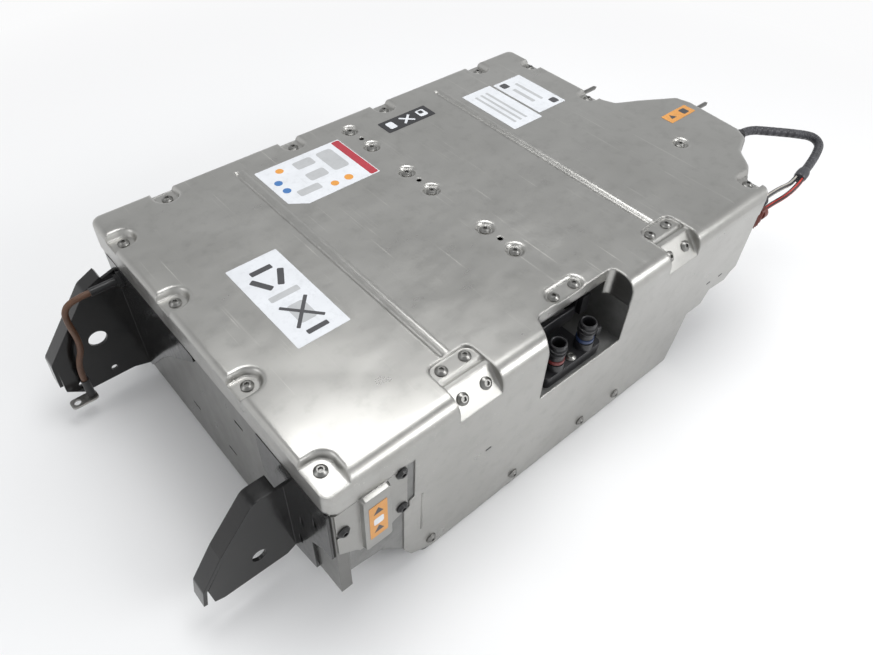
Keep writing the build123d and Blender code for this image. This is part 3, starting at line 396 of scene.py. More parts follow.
def film(name: str, slot: str, colour: Colour) -> Finish:
    """A printed sticker finish.

    Args:
        name: The finish's name.
        slot: The record's slot.
        colour: Its colour.

    Returns:
        The finish.
    """
    patch = tuple(0.9 * value for value in colour)
    worn = (0.35, 0.35, 0.34)
    return Finish(name, slot, colour, patch, 0.0, (0.35, 0.5), Grain.FILM, 0.00002, 0.25, worn, 22.0, 0.0)


LID_STEEL = steel("lid_steel", "lid_steel", 0.43, 0.8, 0.0034)
# The lid steel made darker for the end panel: painted shade for the left end, which stands in shadow.
PAINTED_SHADE_STEEL = steel("end_panel_painted_shade_steel", "lid_steel", 0.20, 0.6, 0.0008)
COVER_STEEL = steel("cover_plate_steel", "lid_steel", 0.36, 0.7, 0.0008)
SCREW_STEEL = steel("screw_steel", "screw_steel", 0.24, 0.2, 0.0004)
PIN_STEEL = steel("pin_steel", "pin_steel", 0.2, 0.3, 0.0003)
CAST = Finish(
    "cast_aluminium", "cast_aluminium", (0.30, 0.30, 0.295), (0.22, 0.22, 0.215), 0.9, (0.5, 0.65),
    Grain.CAST, 0.0003, 0.3, (0.5, 0.5, 0.49), 12.0, 0.0012,
)
BLACK_PAINT = Finish(
    "bracket_paint", "black_paint", (0.003, 0.003, 0.0035), (0.009, 0.0085, 0.008), 0.0, (0.10, 0.24),
    Grain.PAINT, 0.00002, 0.16, (0.10, 0.095, 0.09), 26.0, 0.0012,
)
BLACK_SCREW = Finish(
    "black_screw", "black_screw", (0.02, 0.02, 0.021), (0.05, 0.05, 0.05), 0.6, (0.3, 0.45), Grain.PAINT,
    0.00003, 0.3, (0.3, 0.3, 0.3), 60.0, 0.0004,
)
SEAL = plastic("seal_rubber", "seal_rubber", (0.015, 0.015, 0.016), (0.6, 0.8))
BLACK_PLASTIC = plastic("black_plastic", "black_plastic", (0.014, 0.014, 0.016), (0.28, 0.45))
RED_PLASTIC = plastic("red_plastic", "red_plastic", (0.16, 0.032, 0.022))
ORANGE_PLASTIC = plastic("orange_plastic", "orange_plastic", (0.75, 0.19, 0.03))
WHITE_PLASTIC = plastic("white_plastic", "white_plastic", (0.62, 0.62, 0.6))
GREY_PLASTIC = plastic("grey_plastic", "grey_plastic", (0.2, 0.2, 0.21))
RED_BAND = plastic("red_band", "red_plastic", (0.16, 0.018, 0.018))
BLUE_BAND = plastic("blue_band", "black_plastic", (0.022, 0.045, 0.12))
FOIL = Finish(
    "crumpled_foil", "foil", (0.66, 0.68, 0.72), (0.4, 0.42, 0.45), 1.0, (0.14, 0.3), Grain.CRUMPLED, 0.004,
    0.0, (1.0, 1.0, 1.0), 30.0, 0.0,
)
CELL_CAN = steel("cell_can", "cell_can", 0.5, 0.2, 0.0012)
MILL_PLATE = steel("mill_plate", "plate_aluminium", 0.55, 0.4, 0.0008)
WHITE_FILM = film("white_film", "white_sticker", (0.70, 0.72, 0.75))
BLACK_FILM = film("black_film", "black_film", (0.02, 0.02, 0.023))
ORANGE_FILM = film("orange_film", "orange_film", (0.66, 0.30, 0.07))
RED_INK = film("red_ink", "white_sticker", (0.40, 0.028, 0.045))
BLUE_INK = film("blue_ink", "white_sticker", (0.05, 0.17, 0.42))
ORANGE_INK = film("orange_ink", "white_sticker", (0.70, 0.30, 0.05))
GREY_INK = film("grey_ink", "white_sticker", (0.45, 0.46, 0.47))
DARK_INK = film("dark_ink", "white_sticker", (0.055, 0.055, 0.06))
TAPE = Finish(
    "cloth_tape", "cloth_tape", (0.022, 0.022, 0.026), (0.06, 0.06, 0.068), 0.0, (0.32, 0.55), Grain.TAPE,
    0.0012, 0.0, (0.1, 0.1, 0.1), 90.0, 0.0,
)
BLACK_WIRES = Finish(
    "black_wires", "cloth_tape", (0.02, 0.02, 0.022), (0.04, 0.04, 0.045), 0.0, (0.3, 0.45), Grain.WIRES,
    0.001, 0.0, (0.42, 0.40, 0.36), 90.0, 0.0,
)
RED_WIRES = Finish(
    "red_wires", "cloth_tape", (0.025, 0.02, 0.02), (0.05, 0.04, 0.04), 0.0, (0.3, 0.45), Grain.WIRES,
    0.001, 0.0, (0.5, 0.04, 0.03), 90.0, 0.0,
)
BROWN_JACKET = Finish(
    "brown_jacket", "cable_jacket", (0.115, 0.052, 0.026), (0.075, 0.034, 0.018), 0.0, (0.4, 0.55),
    Grain.MOULDED, 0.00004, 0.4, (0.2, 0.12, 0.08), 60.0, 0.0,
)
SLEEVE = plastic("shrink_sleeve", "shrink_sleeve", (0.012, 0.012, 0.013), (0.3, 0.45))
TINNED = Finish(
    "tinned_lug", "tinned_copper", (0.48, 0.47, 0.45), (0.32, 0.31, 0.30), 1.0, (0.3, 0.5), Grain.CAST,
    0.0001, 0.4, (0.7, 0.69, 0.66), 90.0, 0.0006,
)


class Shapes:
    """Ways to build the small pieces' meshes, in metres."""

    @staticmethod
    def finished(
        name: str, mesh: bmesh.types.BMesh, finishes: Sequence[Finish], smooth: float = EDGE_ANGLE
    ) -> bpy.types.Object:
        """Turns a bmesh into a dressed piece that rides the housing.

        Args:
            name: The piece's name.
            mesh: Its shape.
            finishes: Finishes in the order of its material indices.
            smooth: Sharp edge angle in degrees.

        Returns:
            The piece.
        """
        bmesh.ops.recalc_face_normals(mesh, faces=mesh.faces)
        data = bpy.data.meshes.new(name)
        mesh.to_mesh(data)
        mesh.free()
        for finish in finishes:
            data.materials.append(finish.material())
        piece = bpy.data.objects.new(name, data)
        bpy.context.scene.collection.objects.link(piece)
        soften(piece, smooth)
        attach(piece, "root")
        log.info("made %s: %d faces", name, len(data.polygons))
        return piece

    @staticmethod
    def lathe(
        mesh: bmesh.types.BMesh, start: Vector, way: Vector, profile: Sequence[Pair], steps: int = 40
    ) -> None:
        """Adds a turned form.

        Args:
            mesh: Where it goes.
            start: Foot of its axis.
            way: Direction of its axis.
            profile: (radius, distance) pairs along it.
            steps: Sides round it.
        """
        way = way.normalized()
        side = way.orthogonal().normalized()
        other = way.cross(side)
        rings = []
        for radius, reach in profile:
            centre = start + way * reach
            if radius <= 0.0:
                rings.append([mesh.verts.new(centre)])
                continue
            ring = []
            for n in range(steps):
                angle = 2 * math.pi * n / steps
                out = math.cos(angle) * side + math.sin(angle) * other
                ring.append(mesh.verts.new(centre + radius * out))
            rings.append(ring)
        for low, high in zip(rings, rings[1:]):
            for n in range(steps):
                m = (n + 1) % steps
                corners = [low[n % len(low)], low[m % len(low)], high[m % len(high)], high[n % len(high)]]
                unique = list(dict.fromkeys(corners))
                if len(unique) > 2:
                    mesh.faces.new(unique)

    @staticmethod
    def block(
        mesh: bmesh.types.BMesh, centre: Vector, size: Point, ease: float
    ) -> None:
        """Adds a box with eased edges.

        Args:
            mesh: Where it goes.
            centre: Its middle.
            size: Its three sides.
            ease: Edge radius.
        """
        place = Matrix.Translation(centre) @ Matrix.Diagonal((*size, 1.0))
        made = bmesh.ops.create_cube(mesh, size=1.0, matrix=place)
        edges = list({edge for vert in made["verts"] for edge in vert.link_edges})
        bmesh.ops.bevel(mesh, geom=edges, offset=ease, segments=3, affect="EDGES", profile=0.5)

    @staticmethod
    def sheet(
        mesh: bmesh.types.BMesh, corners: Iterable[Pair], origin: Vector, right: Vector, up: Vector,
        thick: float, index: int = 0,
    ) -> None:
        """Adds a flat thin form from its outline.

        Args:
            mesh: Where it goes.
            corners: Outline points along right and up.
            origin: Where (0, 0) lies.
            right: First direction.
            up: Second direction.
            thick: Thickness along right x up.
            index: Material index.
        """
        out = right.cross(up).normalized() * thick
        low = [mesh.verts.new(origin + right * x + up * y) for x, y in corners]
        high = [mesh.verts.new(vert.co + out) for vert in low]
        faces = [mesh.faces.new(high), mesh.faces.new(list(reversed(low)))]
        for n in range(len(low)):
            m = (n + 1) % len(low)
            faces.append(mesh.faces.new([low[n], low[m], high[m], high[n]]))
        for face in faces:
            face.material_index = index


def soften(piece: bpy.types.Object, angle: float = EDGE_ANGLE) -> None:
    """Shades a piece smoothly, apart from its sharp edges.

    Args:
        piece: The piece.
        angle: Sharp edge angle in degrees.
    """
    data = piece.data
    custom = data.attributes.get("custom_normal")
    if custom is not None:
        data.attributes.remove(custom)
    for mark in ("sharp_edge", "sharp_face"):
        known = data.attributes.get(mark)
        if known is not None:
            data.attributes.remove(known)
    weld = piece.modifiers.new("weld", "WELD")
    weld.merge_threshold = WELD_DISTANCE
    split = piece.modifiers.new("split", "EDGE_SPLIT")
    split.split_angle = math.radians(angle)


def dress(names: Iterable[str], finish: Finish, angle: float = EDGE_ANGLE) -> None:
    """Gives carried nodes their finish.

    Args:
        names: The nodes.
        finish: Their finish.
        angle: Sharp edge angle in degrees.
    """
    for name in names:
        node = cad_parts[name]
        node.data.materials.clear()
        node.data.materials.append(finish.material())
        soften(node, angle)
        log.info("dressed %s with %s", name, finish.name)


def rounded_outline(wide: float, high: float, radius: float, steps: int = 5) -> list[Pair]:
    """Corners of a rounded rectangle about its middle.

    Args:
        wide: First side.
        high: Second side.
        radius: Corner radius.
        steps: Points on each corner.

    Returns:
        The outline points.
    """
    points = []
    for quarter, (sx, sy) in enumerate(((1, 1), (-1, 1), (-1, -1), (1, -1))):
        for n in range(steps + 1):
            angle = math.pi / 2 * (quarter + n / steps)
            points.append((
                sx * (wide / 2 - radius) + radius * math.cos(angle),
                sy * (high / 2 - radius) + radius * math.sin(angle),
            ))
    return points


@dataclass
class Housing:
    """The lid, the tub and everything screwed to them."""

    lid_angle: float = 26.0
    slot_long: float = 8.0 * MM
    slot_wide: float = 2.4 * MM
    slot_corner: float = 1.1 * MM
    slot_depth: float = 0.3 * MM
    slot_places: tuple[Pair, ...] = ((0.245, 0.121), (0.272, 0.119), (-0.14, 0.118))
    ridge_wide: float = 3.0 * MM
    ridge_x: float = -0.228
    ridge_low: float = 0.058
    ridge_high: float = 0.127

    def build(self) -> None:
        """Dresses the housing and adds its small pressed marks."""
        dress(["lid"], LID_STEEL, self.lid_angle)
        dress(["tray"], CAST)
        # the end panel's darker steel is painted shade
        dress(["end_panel"], PAINTED_SHADE_STEEL)
        dress(["front_cover_plate"], COVER_STEEL)
        dress(["rim_gasket"], SEAL)
        dress(["edge_screws", "dimple_screws", "seat_screws"], SCREW_STEEL)
        dress(["slope_screws", "apron_screws", "manifold_screw"], SCREW_STEEL)
        dress(["cover_plate_screws", "ground_stud"], BLACK_SCREW)
        dress(["locating_pins"], PIN_STEEL)
        dress(["near_bracket", "far_bracket"], BLACK_PAINT)
        self.apron_marks()

    def apron_marks(self) -> None:
        """Short slots and an upright ridge pressed in the front apron; the slots are thin black sheets,
        painted shade for their recesses.
        """
        low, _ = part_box("lid")
        mesh = bmesh.new()
        face = low.y - 0.1 * MM
        right, up = Vector((1, 0, 0)), Vector((0, 0, 1))
        # The slots are black sheets on the apron face: painted shade standing for the pressed recesses.
        outline = rounded_outline(self.slot_long, self.slot_wide, self.slot_corner)
        for x, z in self.slot_places:
            Shapes.sheet(mesh, outline, Vector((x, face + 0.2 * MM, z)), right, up, self.slot_depth)
        Shapes.finished("apron_slot_painted_shade", mesh, [BLACK_PLASTIC])
        mesh = bmesh.new()
        middle = Vector((self.ridge_x, low.y, (self.ridge_low + self.ridge_high) / 2))
        tall = self.ridge_high - self.ridge_low
        Shapes.block(mesh, middle, (self.ridge_wide, 1.0 * MM, tall), 0.45 * MM)
        Shapes.finished("apron_ridge", mesh, [LID_STEEL], 60.0)


@dataclass
class Mark:
    """A plain printed shape on a sticker, placed from the sticker's middle."""

    finish: Finish
    at: Pair
    corners: list[Pair] = field(default_factory=list)


def bar_mark(finish: Finish, x: float, y: float, wide: float, high: float, turn: float = 0.0) -> Mark:
    """A rounded bar, sizes in mm and turn in degrees.

    Args:
        finish: Its ink.
        x: Middle along the sticker.
        y: Middle across the sticker.
        wide: First side.
        high: Second side.
        turn: Rotation.

    Returns:
        The mark.
    """
    radius = min(wide, high) * 0.2
    angle = math.radians(turn)
    outline = rounded_outline(wide, high, radius, 3)
    cos, sin = math.cos(angle), math.sin(angle)
    turned = [(a * cos - b * sin, a * sin + b * cos) for a, b in outline]
    return Mark(finish, (x, y), turned)


def disc_mark(finish: Finish, x: float, y: float, radius: float, sides: int = 28) -> Mark:
    """A disc or a regular form, sizes in mm.

    Args:
        finish: Its ink.
        x: Middle along the sticker.
        y: Middle across the sticker.
        radius: Its radius.
        sides: Its sides.

    Returns:
        The mark.
    """
    turn = [2 * math.pi * n / sides + math.pi / 2 for n in range(sides)]
    return Mark(finish, (x, y), [(radius * math.cos(a), radius * math.sin(a)) for a in turn])


@dataclass
class Stickers:
    """The bare stickers, with plain colour fields and simple shapes on them."""

    ink: float = 0.05 * MM
    layer: float = 0.004 * MM
    thinnest_side: float = 1.0 * MM

    def build(self) -> None:
        """Dresses the stickers and prints their plain shapes."""
        dress(["recycling_sticker", "caution_sticker", "data_sticker", "paper_sticker"], WHITE_FILM)
        dress(["black_sticker"], BLACK_FILM)
        dress(["orange_sticker", "cover_plate_sticker"], ORANGE_FILM)
        ring = [bar_mark(DARK_INK, 13 * math.cos(a), 34 + 13 * math.sin(a), 25, 7, math.degrees(a) + 90)
                for a in (math.pi / 2, math.pi * 7 / 6, math.pi * 11 / 6)]
        self.print_on("recycling_sticker", ring + [
            bar_mark(GREY_INK, 0, 3, 34, 8), bar_mark(GREY_INK, 0, -28, 20, 28),
            bar_mark(DARK_INK, 0, -28, 46, 4, 48), bar_mark(DARK_INK, 0, -28, 46, 4, -48),
            bar_mark(DARK_INK, 0, -55, 24, 6),
        ])
        self.print_on("caution_sticker", [
            bar_mark(RED_INK, 54, 0, 11, 84), bar_mark(GREY_INK, 30, 12, 22, 44),
            bar_mark(GREY_INK, -2, 26, 26, 16),
            bar_mark(GREY_INK, -2, -2, 26, 16), bar_mark(GREY_INK, -26, -22, 30, 12),
            disc_mark(ORANGE_INK, 24, -30, 5.5), disc_mark(BLUE_INK, -48, 10, 5.0),
            disc_mark(BLUE_INK, -48, -8, 5.0),
            disc_mark(ORANGE_INK, -34, 30, 5.0), disc_mark(ORANGE_INK, 4, -30, 5.0),
        ])
        self.print_on("data_sticker", [
            bar_mark(DARK_INK, -14, 34, 12, 12), bar_mark(DARK_INK, 14, -34, 12, 12),
            bar_mark(GREY_INK, -10, 0, 6, 40), bar_mark(GREY_INK, 4, 4, 5, 52),
        ])
        self.print_on("paper_sticker", [bar_mark(GREY_INK, x, 0, 4, 78) for x in (-12, -2, 8)])
        self.print_on("black_sticker", [
            bar_mark(WHITE_FILM, -26, 0, 11, 15), bar_mark(WHITE_FILM, 0, 0, 22, 3.2, 42),
            bar_mark(WHITE_FILM, 0, 0, 22, 3.2, -42), bar_mark(WHITE_FILM, 25, 0, 13, 15),
            bar_mark(BLACK_FILM, 25, 2, 7, 7),
        ])
        self.print_on("orange_sticker", [
            disc_mark(DARK_INK, -13, 0, 6.0, 3), bar_mark(DARK_INK, 12, 0, 12, 11),
        ])
        self.print_on("cover_plate_sticker", [
            disc_mark(DARK_INK, 0, 15, 6.5, 3), bar_mark(WHITE_FILM, 0, -1, 11, 11),
            disc_mark(DARK_INK, 0, -16, 6.5, 3),
        ])

    def print_on(self, sticker: str, marks: list[Mark]) -> None:
        """Prints shapes on a sticker.

        Args:
            sticker: The sticker's node.
            marks: Its shapes.
        """
        low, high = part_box(sticker)
        middle = (low + high) / 2
        standing = high.y - low.y < self.thinnest_side
        up = Vector((0, 0, 1)) if standing else Vector((0, 1, 0))
        right = Vector((1, 0, 0))
        surface = low.y if standing else high.z
        finishes = list(dict.fromkeys(mark.finish for mark in marks))
        mesh = bmesh.new()
        for order, mark in enumerate(marks):
            x, y = (value * MM for value in mark.at)
            lift = self.layer * order
            if standing:
                origin = Vector((middle.x + x, surface - lift, middle.z + y))
            else:
                origin = Vector((middle.x + x, middle.y + y, surface + lift))
            corners = [(a * MM, b * MM) for a, b in mark.corners]
            Shapes.sheet(mesh, corners, origin, right, up, self.ink, finishes.index(mark.finish))
        Shapes.finished(f"{sticker}_print", mesh, finishes)


@dataclass
class CoolantConnection:
    """The two coolant stubs in the notch and what lies behind them."""

    stub_x: Pair = (-0.033, 0.014)
    stub_y: float = -0.207
    stub_foot: float = 0.164
    barb: float = 10.3  # mm, as in the profiles
    barb_reaches: Pair = (14.0, 19.5)
    clips: tuple[Point, ...] = ((-0.056, -0.2, 9.0), (0.037, -0.203, 8.0), (-0.0095, -0.192, 14.0))
    foil_columns: int = 26
    foil_rows: int = 34
    foil_thick: float = 0.1 * MM

    def build(self) -> None:
        """Dresses the connection and adds barbs, marks, clips and the foil."""
        dress(["coolant_manifold", "niche_plug"], BLACK_PLASTIC)
        rings = [
            [(8.6, reach - 3.6), (self.barb, reach), (self.barb, reach + 1.0), (8.6, reach + 1.8)]
            for reach in self.barb_reaches
        ]
        lip = [(7.0, 25.0), (7.2, 26.8), (8.0, 27.4), (9.2, 26.6), (9.5, 25.0), (8.6, 23.6)]
        band = [(9.0, 1.2), (9.9, 1.4), (10.0, 3.4), (9.9, 5.4), (9.0, 5.6)]
        for n, (x, colour) in enumerate(zip(self.stub_x, (RED_BAND, BLUE_BAND))):
            foot = Vector((x, self.stub_y, self.stub_foot))
            parts = (("hose_barbs", [*rings, lip], BLACK_PLASTIC), ("hose_mark", [band], colour))
            for name, profiles, finish in parts:
                mesh = bmesh.new()
                for profile in profiles:
                    Shapes.lathe(mesh, foot, Vector((0, 0, 1)), [(r * MM, d * MM) for r, d in profile])
                Shapes.finished(f"{name}_{n + 1}", mesh, [finish], MOULDED_ANGLE)
        mesh = bmesh.new()
        for x, y, wide in self.clips:
            Shapes.block(mesh, Vector((x, y, 0.1605)), (wide * MM, 12.0 * MM, 13.0 * MM), 1.4 * MM)
        Shapes.block(mesh, Vector((-0.0095, -0.176, 0.172)), (74.0 * MM, 5.0 * MM, 20.0 * MM), 1.6 * MM)
        Shapes.finished("manifold_clips", mesh, [BLACK_PLASTIC], MOULDED_ANGLE)
        self.foil()

    def foil(self) -> None:
        """A crumpled foil wrap in place of the plain one."""
        low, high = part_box("niche_foil")
        mesh = bmesh.new()
        grid = []
        for row in range(self.foil_rows + 1):
            line = []
            for column in range(self.foil_columns + 1):
                u, v = column / self.foil_columns, row / self.foil_rows
                x = low.x + u * (high.x - low.x)
                z = low.z + v * (high.z - low.z)
                fold = 0.5 + 0.26 * math.sin(11.0 * u + 5.0 * v) + 0.24 * math.sin(23.0 * v - 7.0 * u)
                crease = abs(math.sin(17.0 * u + 9.0 * v * v)) * 0.25
                y = low.y + (0.15 + 0.6 * fold * (1.0 - crease)) * (high.y - low.y)
                line.append(mesh.verts.new((x, y, z)))
            grid.append(line)
        for row in range(self.foil_rows):
            for column in range(self.foil_columns):
                a, b = grid[row][column], grid[row][column + 1]
                c, d = grid[row + 1][column + 1], grid[row + 1][column]
                mesh.faces.new([a, b, c])
                mesh.faces.new([a, c, d])
        piece = Shapes.finished("foil_wrap", mesh, [FOIL], 12.0)
        thick = piece.modifiers.new("thickness", "SOLIDIFY")
        thick.thickness = self.foil_thick
        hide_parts("niche_foil")


@dataclass
class Connectors:
    """The plugs and fittings at the connector end."""

    rib: float = 1.6 * MM
    rib_shares: Point = (0.52, 0.60, 0.68)
    ease: float = 0.7 * MM

    def build(self) -> None:
        """Dresses the plugs and adds their latches and ribs."""
        dress(["black_connector", "harness_connector", "vent_cap"], BLACK_PLASTIC)
        dress(["red_connector"], RED_PLASTIC)
        dress(["high_voltage_socket"], ORANGE_PLASTIC)
        dress(["socket_insert"], WHITE_PLASTIC)
        for node, finish in (("black_connector", BLACK_PLASTIC), ("red_connector", RED_PLASTIC),
                             ("harness_connector", BLACK_PLASTIC)):
            self.latch(node, finish)

    def latch(self, node: str, finish: Finish) -> None:
        """A latch lever, a collar and grip ribs on a plug.

        Args:
            node: The plug's node.
            finish: Its finish.
        """
        low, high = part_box(node)
        middle = (low + high) / 2
        long = high.x - low.x
        mesh = bmesh.new()
        top = high.z - 1.5 * MM
        lever = Vector((low.x + 0.45 * long, middle.y, top))
        collar = Vector((low.x + 0.26 * long, middle.y, top))
        Shapes.block(mesh, lever, (0.42 * long, 6.0 * MM, 2.4 * MM), self.ease)
        Shapes.block(mesh, collar, (2.0 * MM, 9.0 * MM, 3.0 * MM), self.ease)
        deep, tall = high.y - low.y, high.z - low.z
        for share in self.rib_shares:
            size = (self.rib, deep - 1.6 * MM, tall - 1.6 * MM)
            Shapes.block(mesh, Vector((low.x + share * long, middle.y, middle.z)), size, 0.6 * MM)
        Shapes.finished(f"{node}_latch", mesh, [finish], MOULDED_ANGLE)


@dataclass
class Cable:
    """A free cable on its own route, in mm as the housing's source has it."""

    name: str
    route: list[Point]
    radius: float
    length: float
    finish: Finish
    far_end: str
    stiffness: str
    replaces: list[str]
    carries: list[str | bpy.types.Object] = field(default_factory=list)

    def build(self) -> bpy.types.Object:
        """Returns:
            The piece.
        """
        curve = bpy.data.curves.new(self.name, "CURVE")
        curve.dimensions = "3D"
        spline = curve.splines.new("NURBS")
        spline.points.add(len(self.route) - 1)
        for point, place in zip(spline.points, self.route):
            point.co = (*(value * MM for value in place), 1.0)
        spline.order_u = 3
        spline.use_endpoint_u = True
        spline.resolution_u = 24
        curve.bevel_depth = self.radius * MM
        curve.bevel_resolution = 10
        curve.use_fill_caps = True
        curve.materials.append(self.finish.material())
        piece = bpy.data.objects.new(self.name, curve)
        bpy.context.scene.collection.objects.link(piece)
        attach(piece, "root")
        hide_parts(*self.replaces)
        log.info("laid %s", self.name)
        return piece


HARNESS_ROUTE: list[Point] = [
    (443.6, -110.0, 203.4), (461.6, -110.0, 203.4), (488.0, -131.0, 201.0), (520.0, -159.0, 198.0),
    (536.0, -172.0, 194.0), (533.0, -186.0, 190.0), (514.0, -193.0, 187.0), (490.0, -199.0, 184.0),
    (472.0, -202.0, 182.0),
]
BLACK_ROUTE: list[Point] = [
    (449.34, -201.72, 179.56), (433.64, -204.34, 177.81), (410.0, -203.6, 182.0), (388.0, -202.3, 183.0),
    (363.5, -202.3, 183.0),
]
RED_ROUTE: list[Point] = [
    (450.66, -209.61, 179.56), (434.96, -212.23, 177.81), (418.0, -210.0, 168.0), (400.0, -202.3, 158.0),
    (377.5, -202.3, 158.0),
]
GROUND_ROUTE: list[Point] = [
    (-366.0, 180.0, 174.0), (-380.0, 180.0, 174.0), (-394.0, 180.0, 170.0), (-400.0, 180.0, 156.0),
    (-396.0, 180.0, 108.0), (-410.0, 180.0, 82.0), (-410.0, 180.0, 58.0),
]


@dataclass
class Wiring:
    """The taped harness with its two branches, and the brown ground cable."""

    joint_radius: float = 8.3 * MM

    def build(self) -> None:
        """Lays the cables and dresses what is on them."""
        joint = self.joint()
        Cable(
            "harness", HARNESS_ROUTE, 6.0, 190.0, TAPE, "fitting", "medium", ["harness_loop"], [joint]
        ).build()
        Cable(
            "black_wire_bundle", BLACK_ROUTE, 3.2, 86.5, BLACK_WIRES, "object", "limp", ["black_branch"]
        ).build()
        Cable("red_wire_bundle", RED_ROUTE, 3.2, 79.0, RED_WIRES, "object", "limp", ["red_branch"]).build()
        dress(["upper_cable_sleeve", "lower_cable_sleeve"], SLEEVE)
        dress(["ground_lug"], TINNED)
        on_cable = ["upper_cable_sleeve", "lower_cable_sleeve", "ground_lug"]
        Cable(
            "ground_lead", GROUND_ROUTE, 3.6, 142.0, BROWN_JACKET, "fitting", "stiff", ["ground_cable"],
            on_cable,
        ).build()

    def joint(self) -> bpy.types.Object:
        """The taped swelling where the harness divides.

        Returns:
            The piece.
        """
        start, end = Vector((0.472, -0.202, 0.182)), Vector((0.45, -0.20567, 0.17956))
        span = (end - start).length
        r = self.joint_radius
        profile = [
            (0.0, 0.0), (0.72 * r, 0.0), (0.8 * r, 0.1 * span), (0.97 * r, 0.3 * span), (r, 0.5 * span),
            (0.99 * r, 0.8 * span), (0.9 * r, 0.95 * span), (0.84 * r, span), (0.0, span),
        ]
        mesh = bmesh.new()
        Shapes.lathe(mesh, start, end - start, profile)
        piece = Shapes.finished("taped_joint", mesh, [TAPE], 50.0)
        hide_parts("harness_joint")
        return piece


@dataclass
class CellCore:
    """The sealed inner pieces: cells, plates, beams and electronics."""

    modules: int = 4

    def build(self) -> None:
        """Dresses the inner pieces."""
        dress([f"upper_cells_{n + 1}" for n in range(self.modules)], CELL_CAN)
        dress(["lower_cells_1", "lower_cells_2"], CELL_CAN)
        dress(["upper_end_plates", "lower_end_plates"], MILL_PLATE)
        dress(["upper_cooling_plate", "lower_cooling_plate"], MILL_PLATE)
        dress(["centre_crossmember", "side_crossmembers", "lower_crossmember", "cooler_support"], MILL_PLATE)
        dress(["upper_contact_covers", "lower_contact_covers"], WHITE_PLASTIC)
        dress(["junction_box"], GREY_PLASTIC)
        dress(["junction_box_cover"], ORANGE_PLASTIC)
        dress(["cell_controller"], BLACK_PLASTIC)


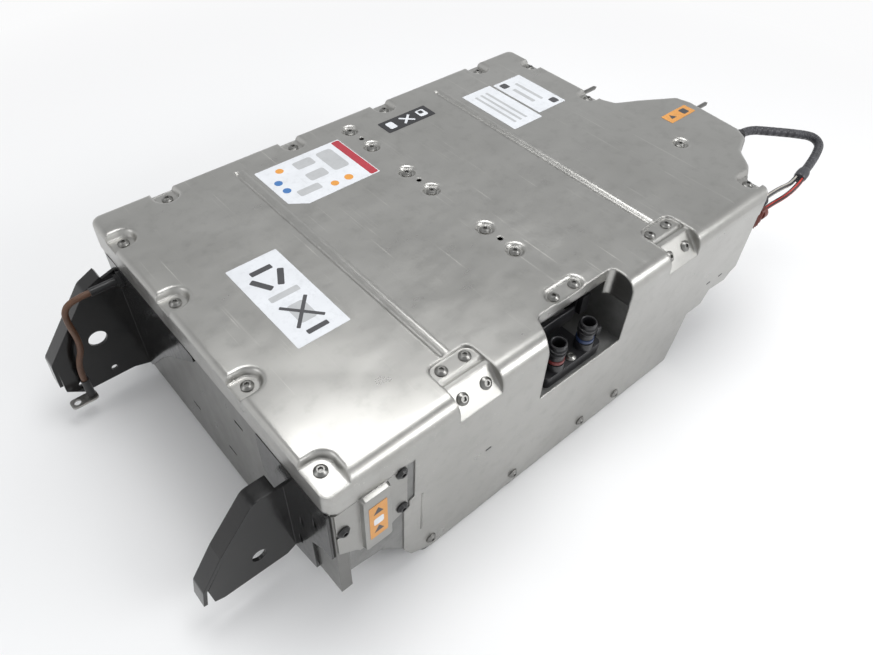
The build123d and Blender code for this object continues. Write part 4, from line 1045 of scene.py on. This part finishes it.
@dataclass
class Studio:
    """The pale floor, the soft lamps and the camera."""

    eye: Point = (-0.467, -0.488, 0.739)
    right: Point = (0.7544, -0.6556, 0.0323)
    up: Point = (0.4620, 0.5652, 0.6835)
    look: Point = (0.4663, 0.5007, -0.7293)
    lens: float = 29.87
    sensor: float = 36.0
    floor_level: float = -0.0005
    floor_size: float = 30.0
    fade_from: float = 0.6
    fade_to: float = 1.3
    sky_low: float = 0.9
    sky_high: float = 0.45

    def build(self) -> None:
        """Sets the stage."""
        bpy.context.scene.view_settings.view_transform = "Standard"
        self.camera()
        self.floor()
        self.sky()
        self.lamp("overhead", (0.22, 0.15, 1.9), (0.1, 0.05, 0.0), wide=1.2, high=0.8, power=18.0)
        self.lamp("front", (0.9, -1.7, 1.2), (0.0, 0.0, 0.1), wide=1.4, high=0.5, power=17.0)
        self.lamp("left", (-2.0, 0.3, 1.2), (-0.1, 0.0, 0.1), wide=1.0, high=0.8, power=5.0)

    def camera(self) -> None:
        """Places the camera."""
        data = bpy.data.cameras.new("camera")
        data.lens = self.lens
        data.sensor_width = self.sensor
        data.clip_start = 0.01
        camera = bpy.data.objects.new("camera", data)
        bpy.context.scene.collection.objects.link(camera)
        back = Vector(self.look) * -1.0
        turn = Matrix((self.right, self.up, back)).transposed()
        camera.matrix_world = Matrix.Translation(self.eye) @ turn.to_4x4()
        bpy.context.scene.camera = camera

    def floor(self) -> None:
        """A wide pale floor that shows near white and keeps the shadow."""
        mesh = bmesh.new()
        bmesh.ops.create_grid(mesh, x_segments=8, y_segments=8, size=self.floor_size)
        data = bpy.data.meshes.new("floor")
        mesh.to_mesh(data)
        mesh.free()
        floor = bpy.data.objects.new("floor", data)
        floor.location.z = self.floor_level
        bpy.context.scene.collection.objects.link(floor)
        tree = Tree("floor_paper")
        diffuse = tree.nodes.new("ShaderNodeBsdfDiffuse")
        grain = tree.noise(tree.mapped(EVEN, SQUARE), 3.0, 2.0)
        tree.link(tree.blend(grain, (0.86, 0.865, 0.87), (0.88, 0.88, 0.885)), diffuse.inputs["Color"])
        reach = tree.nodes.new("ShaderNodeVectorMath")
        reach.operation = "LENGTH"
        tree.link(tree.place.outputs["Object"], reach.inputs[0])
        far = tree.ramp(reach.outputs["Value"], self.fade_from, self.fade_to, 0.0, 1.0)
        path = tree.nodes.new("ShaderNodeLightPath")
        seen = tree.maths("MAXIMUM", path.outputs["Is Camera Ray"], path.outputs["Is Glossy Ray"])
        white = tree.nodes.new("ShaderNodeEmission")
        white.inputs["Color"].default_value = (0.97, 0.97, 0.975, 1.0)
        mixed = tree.nodes.new("ShaderNodeMixShader")
        tree.link(tree.maths("MULTIPLY", seen, far), mixed.inputs[0])
        tree.link(diffuse.outputs["BSDF"], mixed.inputs[1])
        tree.link(white.outputs["Emission"], mixed.inputs[2])
        output = tree.nodes.new("ShaderNodeOutputMaterial")
        tree.link(mixed.outputs["Shader"], output.inputs["Surface"])
        data.materials.append(tree.material)

    def sky(self) -> None:
        """A pale sky, a little darker overhead, that metal mirrors too."""
        world = bpy.data.worlds.new("studio")
        bpy.context.scene.world = world
        world.use_nodes = True
        nodes, links = world.node_tree.nodes, world.node_tree.links
        nodes.clear()
        place = nodes.new("ShaderNodeTexCoord")
        split = nodes.new("ShaderNodeSeparateXYZ")
        links.new(place.outputs["Generated"], split.inputs["Vector"])
        fade = nodes.new("ShaderNodeMapRange")
        links.new(split.outputs["Z"], fade.inputs["Value"])
        fade.inputs["To Min"].default_value = self.sky_low
        fade.inputs["To Max"].default_value = self.sky_high
        path = nodes.new("ShaderNodeLightPath")
        seen = nodes.new("ShaderNodeMath")
        seen.operation = "MAXIMUM"
        links.new(path.outputs["Is Camera Ray"], seen.inputs[0])
        links.new(path.outputs["Is Transmission Ray"], seen.inputs[1])
        strength = nodes.new("ShaderNodeMix")
        links.new(seen.outputs[0], strength.inputs[0])
        links.new(fade.outputs["Result"], strength.inputs[2])
        strength.inputs[3].default_value = 1.0
        sky = nodes.new("ShaderNodeBackground")
        sky.inputs["Color"].default_value = (0.98, 0.99, 1.0, 1.0)
        links.new(strength.outputs[0], sky.inputs["Strength"])
        output = nodes.new("ShaderNodeOutputWorld")
        links.new(sky.outputs["Background"], output.inputs["Surface"])

    def lamp(self, name: str, at: Point, target: Point, wide: float, high: float, power: float) -> None:
        """A soft rectangular lamp aimed at a point.

        Args:
            name: The lamp's name.
            at: Where it hangs.
            target: Where it points.
            wide: Its width.
            high: Its height.
            power: Its power in watts.
        """
        data = bpy.data.lights.new(name, "AREA")
        data.shape = "RECTANGLE"
        data.size, data.size_y = wide, high
        data.energy = power
        lamp = bpy.data.objects.new(name, data)
        lamp.location = at
        lamp.rotation_mode = "QUATERNION"
        lamp.rotation_quaternion = (Vector(target) - Vector(at)).to_track_quat("-Z", "Y")
        bpy.context.scene.collection.objects.link(lamp)


def main() -> None:
    """Builds the classes in order."""
    logging.basicConfig(level=logging.INFO, format="%(message)s")
    for builder in (Studio(), Wiring(), Housing(), Stickers(), CoolantConnection(), Connectors(), CellCore()):
        log.info("building %s", type(builder).__name__)
        builder.build()


if __name__ == "__main__":
    main()
